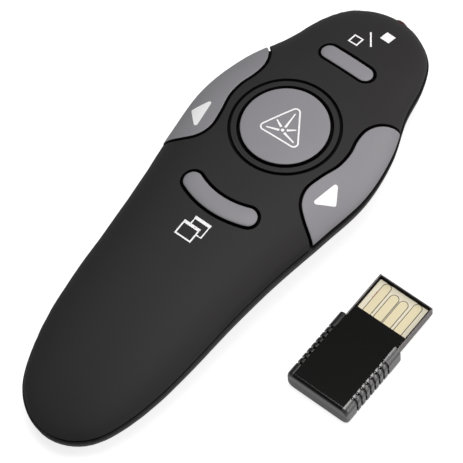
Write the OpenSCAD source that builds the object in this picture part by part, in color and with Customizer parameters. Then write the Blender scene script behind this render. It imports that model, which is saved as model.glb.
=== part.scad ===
// Wireless presentation clicker: a handset with five keys and a laser in its
// nose, and the small plug-in receiver that lies beside it.
// Frame: +Y towards the nose, +X right, +Z up, millimetres. The origin is on
// the flat resting face, midway along the handset.

/* [Handset form] */
// Overall length of the handset
body_l = 106; // [102:1:110]
// Greatest width, across the two side keys
body_w = 38.7; // [37.5:0.2:42]
// Height of the upper shell above the parting line
dome_h = 6.6; // [6.3:0.1:8]
// Wall of both shells
wall = 1.5; // [1.2:0.1:1.8]

/* [Keys] */
// Gap around every key
key_gap = 0.35; // [0.3:0.05:0.45]
// Thickness of a key's cap
key_t = 1.3; // [1.1:0.1:1.4]
// How far every key can be pressed
key_travel = 0.5; // [0.3:0.05:0.5]
// Diameter of the round laser key
laser_key_d = 16.6; // [15:0.2:17]
// Distance of the round key in front of the origin
laser_key_y = 17.4; // [16.6:0.2:18.4]
// Length of the oval screen key
screen_key_l = 12.4; // [11:0.2:14]
// Width of the oval screen key
screen_key_w = 3.4; // [3:0.1:3.8]
// Distance of the screen key in front of the origin
screen_key_y = 35.9; // [35.5:0.1:36.5]
// Radius of the arc that the curved window key follows
window_key_r = 16; // [14:0.5:20]
// Width of the curved window key
window_key_w = 3.5; // [3:0.1:4]
// Distance of the window key's middle behind the origin
window_key_y = 2.9; // [2.3:0.1:3.2]

/* [Battery] */
// Diameter of the AAA cell
cell_d = 10.5; // [9.8:0.1:10.5]
// Length of the AAA cell over its cap
cell_l = 44.5; // [43.5:0.1:44.5]
// Width of the battery door
door_w = 13.2; // [12.8:0.1:13.4]
// How far the door slides before it comes free
door_travel = 6; // [4:0.5:7]

/* [Electronics] */
// Thickness of the main board
board_t = 0.8; // [0.6:0.1:0.8]
// Height of a key switch's body
switch_h = 1.5; // [1.3:0.1:1.5]
// Diameter of the laser module
laser_d = 6; // [5:0.1:6]
// Length of the laser module
laser_l = 8.6; // [8:0.1:9]

/* [Receiver] */
// Width of the receiver's housing
rec_w = 13.8; // [13.6:0.1:15]
// Length of the receiver's housing
rec_l = 15.8; // [15:0.1:16.6]
// Height of the receiver's housing
rec_h = 5.2; // [5:0.1:5.8]
// Width of the plug
plug_w = 12; // [11.8:0.1:12.1]
// Length of the plug in front of the housing
plug_l = 10.9; // [9:0.1:11]
// Height of the plug
plug_h = 2.25; // [2:0.05:2.4]
// Distance of the receiver to the right of the handset's centre line
rec_x = 33.5; // [33.5:0.5:60]
// Distance of the receiver's front behind the origin
rec_back = 1.2; // [0:0.2:10]

/* [Hidden] */

fit = 0.1;                           // between pieces that only touch
// ---- The handset's form ------------------------------------------------
half_l = body_l/2;
half_w = body_w/2;
seam_h = wall + fit + cell_d + fit;  // the parting line runs over the cell
// Half widths as shares of the greatest one, at equal steps of the angle th
// that runs from the nose (0) to the tail (180): y = half_l cos(th)
outline = [0, 0.253, 0.493, 0.636, 0.733, 0.915, 1, 0.937, 0.847, 0.786, 0.749,
           0.695, 0.599, 0.46, 0.248, 0];
outline_n = len(outline) - 1;
seam_rise = 1.2;     // the parting line climbs towards the nose
seam_sag = 4.8;      // and drops to both ends
dome_rise = 0.8;
dome_sag = 2;
dome_p = 2.4;        // superellipse power of the upper shell's section
belly_p = 1.75;      // and of the lower shell's
belly_sink = 2.5;    // the belly's curve would end this far under the table
dome_end = 6;        // powers that round the two ends in side view
belly_end = 12;

function at(v, i) = i < 0 ? -v[-i] : i > outline_n ? -v[2*outline_n - i] : v[i];
function blend(a, b, c, d, f) =
    0.5*(2*b + (c - a)*f + (2*a - 5*b + 4*c - d)*f*f + (3*b - a - 3*c + d)*f*f*f);
function width_at(th) =
    let (k = th*outline_n/180, i = min(floor(k), outline_n - 1))
    half_w*blend(at(outline, i - 1), at(outline, i), at(outline, i + 1),
                 at(outline, i + 2), k - i);
function share(y) = y/half_l;
function seam_z(y) = seam_h + seam_rise*share(y) - seam_sag*share(y)*share(y);
function round_end(y, p) = sqrt(max(0, 1 - pow(abs(share(y)), p)));
function dome_at(y) =
    (dome_h + dome_rise*share(y) - dome_sag*share(y)*share(y))*round_end(y, dome_end);
function sgn_pow(v, p) = sign(v)*pow(abs(v), p);
// A point of the upper surface, inset by e, at angle a across the section
function dome_pt(th, a, e) =
    let (y = (half_l - e)*cos(th), y0 = half_l*cos(th))
    [width_at(th)*(1 - e/half_w)*sgn_pow(cos(a), 2/dome_p), y,
     seam_z(y) + dome_at(y0)*(1 - e/dome_h)*pow(sin(a), 2/dome_p)];
// A point of the belly, flat where it rests
function belly_pt(th, a, e) =
    let (y = (half_l - e)*cos(th), y0 = half_l*cos(th),
         deep = (seam_z(y) + belly_sink - e)*round_end(y0, belly_end))
    [width_at(th)*(1 - e/half_w)*sgn_pow(cos(a), 2/belly_p), y,
     max(e, seam_z(y) - deep*pow(sin(a), 2/belly_p))];
// Height of the upper surface above a place on the plan
function crown_z(x, y, e = 0) =
    let (th = acos(min(1, abs(share(y)))*sign(y + 0.001)),
         c = min(1, abs(x)/(width_at(th)*(1 - e/half_w))))
    seam_z(y) + dome_at(y)*(1 - e/dome_h)*pow(1 - pow(c, dome_p), 1/dome_p);

// ---- Skins -------------------------------------------------------------
skin_n = 22;        // strips across a section
skin_m = 38;        // stations from nose to tail

function tri(a, b, c, d) = [[a, b, c], [a, c, d]];
function th_at(i) = 180*i/skin_m;
function section(top, th, e) =
    [for (j = [0 : skin_n]) let (a = 180*j/skin_n)
        top ? dome_pt(th, a, e) : belly_pt(th, a, e)];
function flat_list(v) = [for (a = v) for (b = a) b];

// A shell between two insets, open at the parting line, with its rim closed
module half_shell(top, e0, e1) {
    ring = skin_n + 1;
    inner = (skin_m - 1)*ring + 2;
    function idx(s, i, j) = (s == 0 ? 0 : inner) + 2 + (i - 1)*ring + j;
    function surf(e) = concat([top ? dome_pt(0, 0, e) : belly_pt(0, 0, e)],
                              [top ? dome_pt(180, 0, e) : belly_pt(180, 0, e)],
                              flat_list([for (i = [1 : skin_m - 1]) section(top, th_at(i), e)]));
    side = concat(
        flat_list([for (s = [0, 1]) for (i = [1 : skin_m - 2]) for (j = [0 : skin_n - 1])
            let (q = [idx(s, i, j), idx(s, i + 1, j), idx(s, i + 1, j + 1), idx(s, i, j + 1)])
            s == 0 ? tri(q[0], q[1], q[2], q[3]) : tri(q[3], q[2], q[1], q[0])]),
        [for (j = [0 : skin_n - 1]) [0, idx(0, 1, j), idx(0, 1, j + 1)]],
        [for (j = [0 : skin_n - 1]) [1, idx(0, skin_m - 1, j + 1), idx(0, skin_m - 1, j)]],
        [for (j = [0 : skin_n - 1]) [inner, idx(1, 1, j + 1), idx(1, 1, j)]],
        [for (j = [0 : skin_n - 1]) [inner + 1, idx(1, skin_m - 1, j), idx(1, skin_m - 1, j + 1)]]);
    rim = concat(
        flat_list([for (i = [1 : skin_m - 2]) concat(
            tri(idx(0, i, 0), idx(1, i, 0), idx(1, i + 1, 0), idx(0, i + 1, 0)),
            tri(idx(0, i + 1, skin_n), idx(1, i + 1, skin_n), idx(1, i, skin_n), idx(0, i, skin_n)))]),
        tri(0, inner, idx(1, 1, 0), idx(0, 1, 0)),
        tri(idx(0, 1, skin_n), idx(1, 1, skin_n), inner, 0),
        tri(idx(0, skin_m - 1, 0), idx(1, skin_m - 1, 0), inner + 1, 1),
        tri(1, inner + 1, idx(1, skin_m - 1, skin_n), idx(0, skin_m - 1, skin_n)));
    faces = concat(side, rim);
    polyhedron(concat(surf(e0), surf(e1)),
               top ? faces : [for (f = faces) [f[2], f[1], f[0]]], convexity = 8);
}

// The solid between the parting line and one surface, inset by e
module half_solid(top, e) {
    ring = skin_n + 1;
    function idx(i, j) = 2 + (i - 1)*ring + j;
    pts = concat([top ? dome_pt(0, 0, e) : belly_pt(0, 0, e)],
                 [top ? dome_pt(180, 0, e) : belly_pt(180, 0, e)],
                 flat_list([for (i = [1 : skin_m - 1]) section(top, th_at(i), e)]));
    faces = concat(
        flat_list([for (i = [1 : skin_m - 2]) for (j = [0 : skin_n - 1])
            tri(idx(i, j), idx(i + 1, j), idx(i + 1, j + 1), idx(i, j + 1))]),
        flat_list([for (i = [1 : skin_m - 2])
            tri(idx(i, skin_n), idx(i + 1, skin_n), idx(i + 1, 0), idx(i, 0))]),
        [for (j = [0 : skin_n - 1]) [0, idx(1, j), idx(1, j + 1)]],
        [for (j = [0 : skin_n - 1]) [1, idx(skin_m - 1, j + 1), idx(skin_m - 1, j)]],
        [[0, idx(1, skin_n), idx(1, 0)],
         [1, idx(skin_m - 1, 0), idx(skin_m - 1, skin_n)]]);
    polyhedron(pts, top ? faces : [for (f = faces) [f[2], f[1], f[0]]], convexity = 6);
}

// A piece of the upper skin between two insets, from station y0 to y1 and
// from section angle a0 to a1; lift keeps it that far above the parting line
patch_n = 16;
function th_of(y) = acos(max(-1, min(1, share(y))));
function level_pt(y, a, e) =
    [width_at(th_of(y))*(1 - e/half_w)*sgn_pow(cos(a), 2/dome_p), y,
     seam_z(y) + dome_at(y)*(1 - e/dome_h)*pow(sin(a), 2/dome_p)];
function lift_angle(y, e, lift) =
    asin(pow(min(1, lift/(dome_at(y)*(1 - e/dome_h))), dome_p/2));
module skin_patch(e0, e1, y0, y1, a0, a1, lift = 0, m = 12) {
    function from(y, e) = max(a0, lift_angle(y, e, lift));
    function row(y, e) = [for (j = [0 : patch_n])
        let (a = from(y, e)) level_pt(y, a + (a1 - a)*j/patch_n, e)];
    ys = [for (i = [0 : m]) y0 + (y1 - y0)*i/m];
    loft([for (y = ys) row(y, e0)], [for (y = ys) row(y, e1)]);
}
// A solid between an outer and an inner grid of points, row by row along +Y
module loft(outer, inner) {
    m = len(outer) - 1;
    n = len(outer[0]) - 1;
    half = (m + 1)*(n + 1);
    function o(i, j) = i*(n + 1) + j;
    function q(i, j) = half + i*(n + 1) + j;
    polyhedron(concat(flat_list(outer), flat_list(inner)), flat_list(concat(
        [for (i = [0 : m - 1]) for (j = [0 : n - 1])
            tri(o(i, j), o(i, j + 1), o(i + 1, j + 1), o(i + 1, j))],
        [for (i = [0 : m - 1]) for (j = [0 : n - 1])
            tri(q(i, j), q(i + 1, j), q(i + 1, j + 1), q(i, j + 1))],
        [for (i = [0 : m - 1]) tri(o(i, 0), o(i + 1, 0), q(i + 1, 0), q(i, 0))],
        [for (i = [0 : m - 1]) tri(o(i, n), q(i, n), q(i + 1, n), o(i + 1, n))],
        [for (j = [0 : n - 1]) tri(o(0, j), q(0, j), q(0, j + 1), o(0, j + 1))],
        [for (j = [0 : n - 1]) tri(o(m, j), o(m, j + 1), q(m, j + 1), q(m, j))])),
        convexity = 8);
}

// ---- Places derived from the sizes -------------------------------------
plate_t = 0.4;                       // sheet of the battery contacts
door_t = wall;
high = seam_h + 20;                  // above everything
door_gap = 0.2;
cell_r = cell_d/2;
cell_z = door_t + fit + cell_r;
cell_front = 0.16*half_l;            // tip of the cell's cap
cell_back = cell_front - cell_l;
cell_cap_l = 0.8;
spring_l = 4;
board_z = cell_z + cell_r + fit;     // underside of the main board
board_top = board_z + board_t;
switch_top = board_top + switch_h;
plunger_top = switch_top + key_travel + 0.2;
plunger_r = 0.9;
cap_proud = 0.2;                     // caps stand this far out of the shell
key_lip = 0.8;                       // it reaches this far under the shell
lip_t = 0.6;
lip_gap = 0.3;                       // and lies this far below it
bay_gap = 0.3;
bay_y0 = cell_front + plate_t + 1.7; // tail end of the receiver bay
bay_y1 = bay_y0 + rec_l + plug_l + 2*bay_gap;
bay_w = rec_w + 2*bay_gap;
bay_h = rec_h + bay_gap;
rib_t = 1.2;
laser_y = bay_y1 + rib_t + 0.6;      // back of the laser module
laser_z = seam_z(half_l);
window_r = 1.9;
window_bore_l = 6;
screw_places = [[10.4, -8, 5.8], [6, half_l - 10, 4]];   // x, y and the height of the head's seat
screw_r = 1;
screw_head_r = 1.8;
screw_head_t = 1.5;
thread_l = 1.6;                      // of the screw above the parting line
boss_r = 2.2;
post_places = [[11.2, 21], [10.4, 30]];
wing_stem = [12.4, -7.5];            // from the round key's centre
wing_lips = [laser_key_y - 3, laser_key_y + 8];   // where its two lips sit
wing_lip_x = 12.2;
window_key_c = [0, -window_key_y + window_key_r];
window_key_half = 22.6;              // half of the arc's angle
window_reach = [5, 7];               // of the skin that its cap is cut from
round_reach = 12;                    // and of the round key's
wing_reach = 18;

// Edge of the right side key on the plan, from the tail end of the key to
// its nose end, measured from the round key's centre
wing_edge = [[20.6, -16.4], [17.4, -14.4], [14.4, -12.6], [12.2, -10.6], [11.3, -7.8],
             [11.9, -4.2], [12.9, -0.5], [12.9, 3], [12.2, 6], [12.1, 8.8],
             [13.1, 11.4], [15, 13.4], [17.6, 14.8], [20.6, 15.8]];
wing_steps = 3;

// ---- Outlines on the plan ----------------------------------------------
function curve(v, i, f) =
    let (n = len(v) - 1, a = v[max(0, i - 1)], b = v[i], c = v[min(n, i + 1)],
         d = v[min(n, i + 2)])
    blend(a, b, c, d, f);
function wing_curve() = concat(
    [for (i = [0 : len(wing_edge) - 2]) for (k = [0 : wing_steps - 1])
        curve(wing_edge, i, k/wing_steps)], [wing_edge[len(wing_edge) - 1]]);
// The edge moved outwards by g along its own normal
function wing_pts(g) =
    let (c = wing_curve(), n = len(c) - 1)
    [for (i = [0 : n])
        let (d = c[min(n, i + 1)] - c[max(0, i - 1)], l = norm(d))
        c[i] + g*[-d[1], d[0]]/l];
module wing_outline(g = 0) {
    translate([0, laser_key_y])
        polygon(concat(wing_pts(g), [[body_w, 16 + g], [body_w, -16.6 - g]]));
}
module stadium(l, w, g = 0) {
    for (s = [-1, 1]) translate([s*(l - w)/2, 0]) circle(d = w + 2*g, $fn = 32);
    square([l - w, w + 2*g], center = true);
}
module screen_outline(g = 0) {
    translate([0, screen_key_y]) stadium(screen_key_l, screen_key_w, g);
}
module wedge(r, half) {
    polygon([[0, 0], [-r*sin(half), -r*cos(half)], [0, -r/cos(half)*1.01],
             [r*sin(half), -r*cos(half)]]);
}
module window_outline(g = 0) {
    translate(window_key_c) {
        intersection() {
            difference() {
                circle(r = window_key_r + window_key_w/2 + g, $fn = 90);
                circle(r = window_key_r - window_key_w/2 - g, $fn = 90);
            }
            wedge(2*window_key_r, window_key_half);
        }
        for (s = [-1, 1])
            rotate(s*window_key_half) translate([0, -window_key_r])
                circle(d = window_key_w + 2*g, $fn = 32);
    }
}
module laser_outline(g = 0) {
    translate([0, laser_key_y]) circle(d = laser_key_d + 2*g, $fn = 64);
}
module tall(z0, z1) { translate([0, 0, z0]) linear_extrude(z1 - z0) children(); }
module across(r, y0, y1, z, x = 0) {
    translate([x, y1, z]) rotate([90, 0, 0]) cylinder(r = r, h = y1 - y0, $fn = 48);
}
module both() { children(); mirror([1, 0, 0]) children(); }
module block(x0, x1, y0, y1, z0, z1) {
    translate([x0, y0, z0]) cube([x1 - x0, y1 - y0, z1 - z0]);
}
module middle(w, y0, y1, z0, z1) { block(-w/2, w/2, y0, y1, z0, z1); }

// ---- Shells ------------------------------------------------------------
ring_in = 10.2;      // the groove round the laser key
ring_out = 10.6;
groove_deep = 0.35;
module upper_shell() {
    color("#353435") difference() {
        union() {
            half_shell(true, 0, wall);
            intersection() {
                both() for (p = screw_places)
                    translate([p[0], p[1], seam_z(p[1])])
                        cylinder(r = boss_r, h = dome_h + 2, $fn = 32);
                half_solid(true, wall/2);
            }
        }
        tall(seam_h + 1, high) laser_outline(key_gap);
        tall(seam_h - 1, high) screen_outline(key_gap);
        tall(seam_h + 1, high) window_outline(key_gap);
        both() tall(0, high) wing_outline(key_gap);
        intersection() {
            skin_patch(-0.5, groove_deep, laser_key_y - round_reach, laser_key_y + round_reach,
                       45, 135);
            tall(seam_h, high) translate([0, laser_key_y]) difference() {
                circle(r = ring_out, $fn = 64);
                circle(r = ring_in, $fn = 64);
            }
        }
        both() for (p = screw_places)
            translate([p[0], p[1], seam_z(p[1]) - 1])
                cylinder(r = screw_r + 0.05, h = 1 + thread_l + 0.4, $fn = 32);
        across(window_r + 0.05, half_l - window_bore_l, half_l + 2, laser_z);
    }
}

module lower_inside() {
    wall_x = cell_r + 0.2;
    tail = cell_back - spring_l - plate_t;
    // receiver bay
    middle(bay_w + 2*rib_t, cell_front + plate_t, bay_y1 + rib_t, 0, bay_h + rib_t);
    // battery channel and its end walls
    both() block(wall_x, wall_x + rib_t, tail, bay_y0, wall + 1.3, 9.5);
    middle(2*(wall_x + rib_t), cell_front + plate_t, bay_y0, 0, 9.5);
    middle(2*(wall_x + rib_t), tail - rib_t, tail, 0, 8);
    // ribs that carry the channel on the shell
    both() for (y = [-30, -16]) block(wall_x + 0.5, half_w, y, y + rib_t, wall + 1.3, 5.5);
    // posts for the board
    both() for (p = post_places)
        translate([p[0], p[1], 0]) cylinder(r = 1.5, h = board_z, $fn = 32);
    both() for (p = screw_places)
        translate([p[0], p[1], 0]) cylinder(r = boss_r + 0.4, h = seam_z(p[1]), $fn = 32);
    // cradle of the laser module
    for (y = [laser_y + 1.5, laser_y + laser_l - 2.7])
        middle(laser_d + 1, y, y + rib_t, 0, laser_z);
}
tongue_h = 0.6;
tongue_t = 0.7;
tongue_gap = 0.2;
// The tongue that stands up inside the upper shell along one side; its
// stations are the shells' own
module tongue() {
    function edge_pt(th, e, z) = let (y = (half_l - e)*cos(th))
        [width_at(th)*(1 - e/half_w), y, seam_z(y) + z];
    module strip(e0, e1, z0, z1) {
        function strip_row(th, e) = [for (z = [z0, z1]) edge_pt(th, e, z)];
        ths = [for (i = [skin_m - 6 : -1 : 7]) th_at(i)];
        loft([for (th = ths) strip_row(th, e0)], [for (th = ths) strip_row(th, e1)]);
    }
    inside = wall + tongue_gap;
    strip(inside, inside + tongue_t, -0.6, tongue_h);
    strip(wall/2, inside + tongue_t, -1.2, -0.2);
}
tab_places = [for (back = [34.5, 18.5, 4.5]) cell_front - back];
tab_l = 5;
tab_t = 0.8;
tab_out = 1.1;
module lower_shell() {
    door_half = door_w/2 + door_gap;
    color("#2f2e2f") difference() {
        union() {
            half_shell(false, 0, wall);
            both() tongue();
            for (p = post_places) both() translate([p[0], p[1], board_z - 3])
                cylinder(r = 0.7, h = 3 + board_t + 0.4, $fn = 32);
            intersection() {
                half_solid(false, wall/2);
                union() lower_inside();
            }
        }
        middle(bay_w, bay_y0, bay_y1, -1, bay_h);
        // battery door opening and the path of its tabs
        middle(2*door_half, -half_l - 2, cell_front + 0.5 + door_gap, -1, wall + 0.05);
        middle(2*(door_w/2 + tab_out + door_gap), tab_places[0] - tab_l/2 - door_travel - 0.5,
               tab_places[2] + tab_l/2 + 0.5, wall + 0.05, wall + 1.3);
        across(cell_r + 0.2, cell_back - spring_l - plate_t, cell_front + plate_t, cell_z);
        across(laser_d/2 + 0.05, laser_y - 1, laser_y + laser_l + 1, laser_z);
        across(window_r + 0.05, half_l - window_bore_l, half_l + 2, laser_z);
        both() for (p = screw_places) translate([p[0], p[1], -1]) {
            cylinder(r = screw_head_r + 0.2, h = p[2] + 1, $fn = 32);
            cylinder(r = screw_r + 0.1, h = high, $fn = 32);
        }
    }
}

module battery_door() {
    front = cell_front + 0.5;
    color("#2f2e2f") difference() {
        union() {
            intersection() {
                half_solid(false, 0);
                middle(door_w, -half_l - 1, front, -1, door_t);
            }
            both() for (y = tab_places) {
                block(door_w/2 - 1.1, door_w/2 - 0.1, y - tab_l/2, y + tab_l/2, 1, wall + 0.3 + tab_t);
                block(door_w/2 - 1.1, door_w/2 + tab_out, y - tab_l/2, y + tab_l/2,
                      wall + 0.3, wall + 0.3 + tab_t);
            }
        }
        // thumb grip
        for (i = [0 : 4])
            middle(7 - i, front - 6 - 1.6*i, front - 5.4 - 1.6*i, -1, 0.4);
    }
}
// ---- Keys --------------------------------------------------------------
// A cap that follows the shell, with a skirt and a lip that hold it in
function lip_under(v) = min([for (p = v) crown_z(p[0], p[1], wall)]) - lip_gap - lip_t;
module stem(x, y, top) {
    translate([x, y, plunger_top]) cylinder(r = 1.1, h = top - plunger_top, $fn = 32);
}
module laser_key() {
    lip_r = laser_key_d/2 + key_lip;
    lip_z = lip_under([[lip_r, laser_key_y], [0, laser_key_y + lip_r]]);
    skirt_top = crown_z(laser_key_d/2, laser_key_y) - key_t + 0.5;
    color("#8f8e93") union() {
        intersection() {
            skin_patch(-cap_proud, key_t, laser_key_y - round_reach, laser_key_y + round_reach,
                       40, 140);
            tall(seam_h, high) laser_outline();
        }
        translate([0, laser_key_y, lip_z]) difference() {
            union() {
                cylinder(d = laser_key_d, h = skirt_top - lip_z, $fn = 64);
                cylinder(r = lip_r, h = lip_t, $fn = 64);
            }
            translate([0, 0, -1]) cylinder(d = laser_key_d - 2*key_lip, h = 10, $fn = 64);
        }
        stem(0, laser_key_y, crown_z(0, laser_key_y) - key_t + 0.3);
    }
}
module screen_key() {
    top = crown_z(0, screen_key_y);
    lip_z = lip_under([[screen_key_l/2 + key_lip, screen_key_y + screen_key_w/2]]);
    color("#8a898e") union() {
        intersection() {
            skin_patch(-cap_proud, key_t, screen_key_y - 4, screen_key_y + 4, 40, 140);
            tall(seam_h - 2, high) screen_outline();
        }
        both() difference() {
            union() {
                tall(lip_z, top - key_t + 0.2) screen_outline();
                tall(lip_z, lip_z + lip_t) screen_outline(key_lip);
            }
            middle(screen_key_l - screen_key_w, screen_key_y - 10, screen_key_y + 10, 0, high);
        }
        stem(0, screen_key_y, top - key_t + 0.3);
    }
}
module window_key() {
    y = -window_key_y;
    top = crown_z(0, y);
    end_x = window_key_r*sin(window_key_half);
    lip_z = lip_under([[end_x + window_key_w/2 + key_lip, y]]);
    color("#8a898e") union() {
        intersection() {
            skin_patch(-cap_proud, key_t, y - window_reach[0], y + window_reach[1], 40, 140);
            tall(seam_h, high) window_outline();
        }
        both() difference() {
            union() {
                tall(lip_z, top - key_t + 0.1) window_outline();
                tall(lip_z, lip_z + lip_t) window_outline(key_lip);
            }
            middle(2*end_x - window_key_w, y - 10, y + 12, 0, high);
        }
        stem(0, y, top - key_t + 0.3);
    }
}
wing_lift = key_travel + 0.35;       // its lower edge above the parting line
module next_key() {
    s = wing_stem + [0, laser_key_y];
    top = crown_z(s[0], s[1]);
    function lip_z(y) = lip_under([[wing_lip_x, y - 2], [wing_lip_x, y + 2]]);
    color("#97969c") union() {
        intersection() {
            skin_patch(-cap_proud, key_t, laser_key_y - wing_reach, laser_key_y + wing_reach, 0, 72,
                       lift = wing_lift, m = 18);
            tall(0, high) wing_outline();
        }
        for (y = wing_lips)
            intersection() {
                tall(lip_z(y), lip_z(y) + lip_t) wing_outline(key_lip);
                skin_patch(key_t - 0.3, key_t + 2.4, y - 2, y + 2, 10, 85, m = 3);
            }
        stem(s[0], s[1], top - key_t + 0.2);
    }
}
module previous_key() { mirror([1, 0, 0]) next_key(); }

// ---- Board, switches and their plungers ---------------------------------
switch_places = [[0, laser_key_y], [0, screen_key_y], [0, -window_key_y],
                 wing_stem + [0, laser_key_y],
                 [-wing_stem[0], wing_stem[1] + laser_key_y]];
switch_size = [4.2, 3.2];
board_y0 = -8;
board_y1 = screen_key_y + 2.1;
board_wide = [3, 33];                // its wide part, between two necks
tail_neck = 7.4;                     // half widths
nose_neck = 3.4;
board_max = 14.8;
function board_half(y) = min(width_at(th_of(y)) - 3.9, board_max);
module main_board() {
    ys = [for (i = [0 : 10]) board_wide[0] + (board_wide[1] - board_wide[0])*i/10];
    side = concat([[tail_neck, board_y0], [tail_neck, board_wide[0]]],
                  [for (y = ys) [board_half(y), y]],
                  [[nose_neck, board_wide[1]], [nose_neck, board_y1]]);
    color("#1d5c38") difference() {
        tall(board_z, board_top) both() polygon(concat(side, [[0, board_y1], [0, board_y0]]));
        both() for (p = post_places)
            translate([p[0], p[1], board_z - 1]) cylinder(r = 0.75, h = 4, $fn = 32);
    }
}
module key_switches() {
    color("#c9c9c9") for (p = switch_places)
        translate([p[0], p[1], board_top]) difference() {
            translate([-switch_size[0]/2, -switch_size[1]/2, 0])
                cube([switch_size[0], switch_size[1], switch_h]);
            translate([0, 0, 0.1]) cylinder(r = plunger_r + 0.05, h = switch_h, $fn = 32);
        }
}
module plunger(p) {
    low = board_top + 0.1 + key_travel + 0.05;
    color("#222222") translate([p[0], p[1], low])
        cylinder(r = plunger_r, h = plunger_top - low, $fn = 32);
}
module laser_key_plunger() { plunger(switch_places[0]); }
module screen_key_plunger() { plunger(switch_places[1]); }
module window_key_plunger() { plunger(switch_places[2]); }
module next_key_plunger() { plunger(switch_places[3]); }
module previous_key_plunger() { plunger(switch_places[4]); }
// A flat component under the board, with its corner at a place on the plan
module component(at, size) {
    translate([at[0], at[1], board_z - size[2]]) cube(size);
}
chip_size = [4, 4, 0.9];
crystal_size = [3.2, 2.5, 0.8];
capacitor_size = [1, 0.6, 0.5];
capacitor_pitch = 2;
capacitors_y = 7;                    // behind the chip's row
chips_y = laser_key_y + 4;           // the row of the chip and its crystal
chips_x = -7;
module radio_chip() { color("#202020") component([chips_x, chips_y], chip_size); }
module crystal() {
    color("#c8ccd0") component([chips_x + 2*chip_size[0], chips_y + 1], crystal_size);
}
module board_capacitors() {
    color("#b58d5c") for (i = [0 : 5])
        component([chips_x + capacitor_pitch*i, chips_y + capacitors_y], capacitor_size);
}

// ---- Laser module -------------------------------------------------------
module laser_barrel() {
    color("#b9974f") difference() {
        across(laser_d/2, laser_y, laser_y + laser_l, laser_z);
        across(laser_d/2 - 0.7, laser_y - 1, laser_y + 4.2, laser_z);
        across(laser_d/2 - 1.2, laser_y + 4, laser_y + laser_l + 1, laser_z);
        across(laser_d/2 - 0.8, laser_y + laser_l - 1.6, laser_y + laser_l + 1, laser_z);
    }
}
module laser_lens() {
    color("#dfe8ee") across(laser_d/2 - 0.85, laser_y + laser_l - 1.6, laser_y + laser_l - 0.4,
                            laser_z);
}
module laser_diode() {
    color("#c9ccd0") union() {
        across(laser_d/2 - 0.75, laser_y + 3, laser_y + 4.2, laser_z);
        across(1.3, laser_y + 4.2, laser_y + 5.6, laser_z);
        for (s = [-1, 1]) across(0.2, laser_y + 0.05, laser_y + 3, laser_z, s*0.9);
    }
}
module laser_driver_board() {
    color("#1d5c38") across(laser_d/2 - 0.75, laser_y - 0.75, laser_y + 0.05, laser_z);
}
// A straight wire in the plane x, from a to b, each given as [y, z]
module lead(x, a, b, r) {
    d = b - a;
    translate([x, a[0], a[1]]) rotate([atan2(-d[0], d[1]), 0, 0])
        cylinder(r = r, h = norm(d), $fn = 16);
}
module laser_leads() {
    color("#a03028") for (s = [-1, 1])
        lead(s*1.2, [laser_y - 1.05, laser_z + 1.2], [board_y1 - 0.8, board_z - 0.35], 0.3);
}
module laser_window() {
    color("#3a1414") across(window_r, half_l - 2.4, half_l - 1, laser_z);
}

// ---- Battery ------------------------------------------------------------
module battery_cell() {
    color("#3f6f9f") across(cell_r, cell_back, cell_front - cell_cap_l, cell_z);
}
module cell_cap() {
    color("#c9ccd0") across(1.9, cell_front - cell_cap_l, cell_front, cell_z);
}
spring_turns = 3.5;
spring_wire = 0.35;
module battery_spring() {
    n = 56;
    s = 8;
    function mid(i) = let (t = i/n, a = 360*spring_turns*t, r = 3.2 - 1*t)
        [r*cos(a), cell_back - spring_l + spring_wire
         + (spring_l - 2*spring_wire)*t, cell_z + r*sin(a)];
    pts = [for (i = [0 : n]) for (j = [0 : s - 1])
        let (a = 360*spring_turns*i/n, out = [cos(a), 0, sin(a)], b = 360*j/s)
        mid(i) + spring_wire*(cos(b)*out + sin(b)*[0, 1, 0])];
    color("#c9ccd0") polyhedron(pts, concat(
        flat_list([for (i = [0 : n - 1]) for (j = [0 : s - 1])
            let (k = (j + 1) % s) tri(i*s + j, i*s + k, (i + 1)*s + k, (i + 1)*s + j)]),
        [[for (j = [s - 1 : -1 : 0]) j]], [[for (j = [0 : s - 1]) n*s + j]]), convexity = 6);
}
minus_plate_w = 9;
plus_plate_w = 8;
plate_z = [cell_z - 4, cell_z + 3.2];
tab_from = plate_z[1] - 0.2;         // where a plate's solder tab starts
minus_tab = [3, 5, cell_z + 4.2];
plus_tab_w = 3;
module minus_plate() {
    y = cell_back - spring_l - plate_t;
    color("#c9ccd0") union() {
        middle(minus_plate_w, y, y + plate_t, plate_z[0], plate_z[1]);
        block(minus_tab[0], minus_tab[1], y, y + plate_t, tab_from, minus_tab[2]);
    }
}
module plus_plate() {
    color("#c9ccd0") union() {
        middle(plus_plate_w, cell_front, cell_front + plate_t, plate_z[0], plate_z[1]);
        middle(plus_tab_w, cell_front, cell_front + plate_t, tab_from, board_z);
    }
}
module battery_lead() {
    color("#1c1c1c")
        lead(6.1, [cell_back - spring_l, cell_z + 3.4], [board_y0 + 1, board_z - 0.55], 0.4);
}
module case_screws() {
    color("#8d9196") both() for (p = screw_places) translate([p[0], p[1], 0]) difference() {
        union() {
            translate([0, 0, p[2] - screw_head_t])
                cylinder(r = screw_head_r, h = screw_head_t, $fn = 32);
            translate([0, 0, p[2] - 0.1])
                cylinder(r = screw_r, h = seam_z(p[1]) + thread_l - p[2], $fn = 32);
        }
        for (a = [0, 90]) translate([0, 0, p[2] - screw_head_t - 1]) rotate(a)
            translate([-1.1, -0.2, 0]) cube([2.2, 0.4, 1.7]);
    }
}

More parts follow.
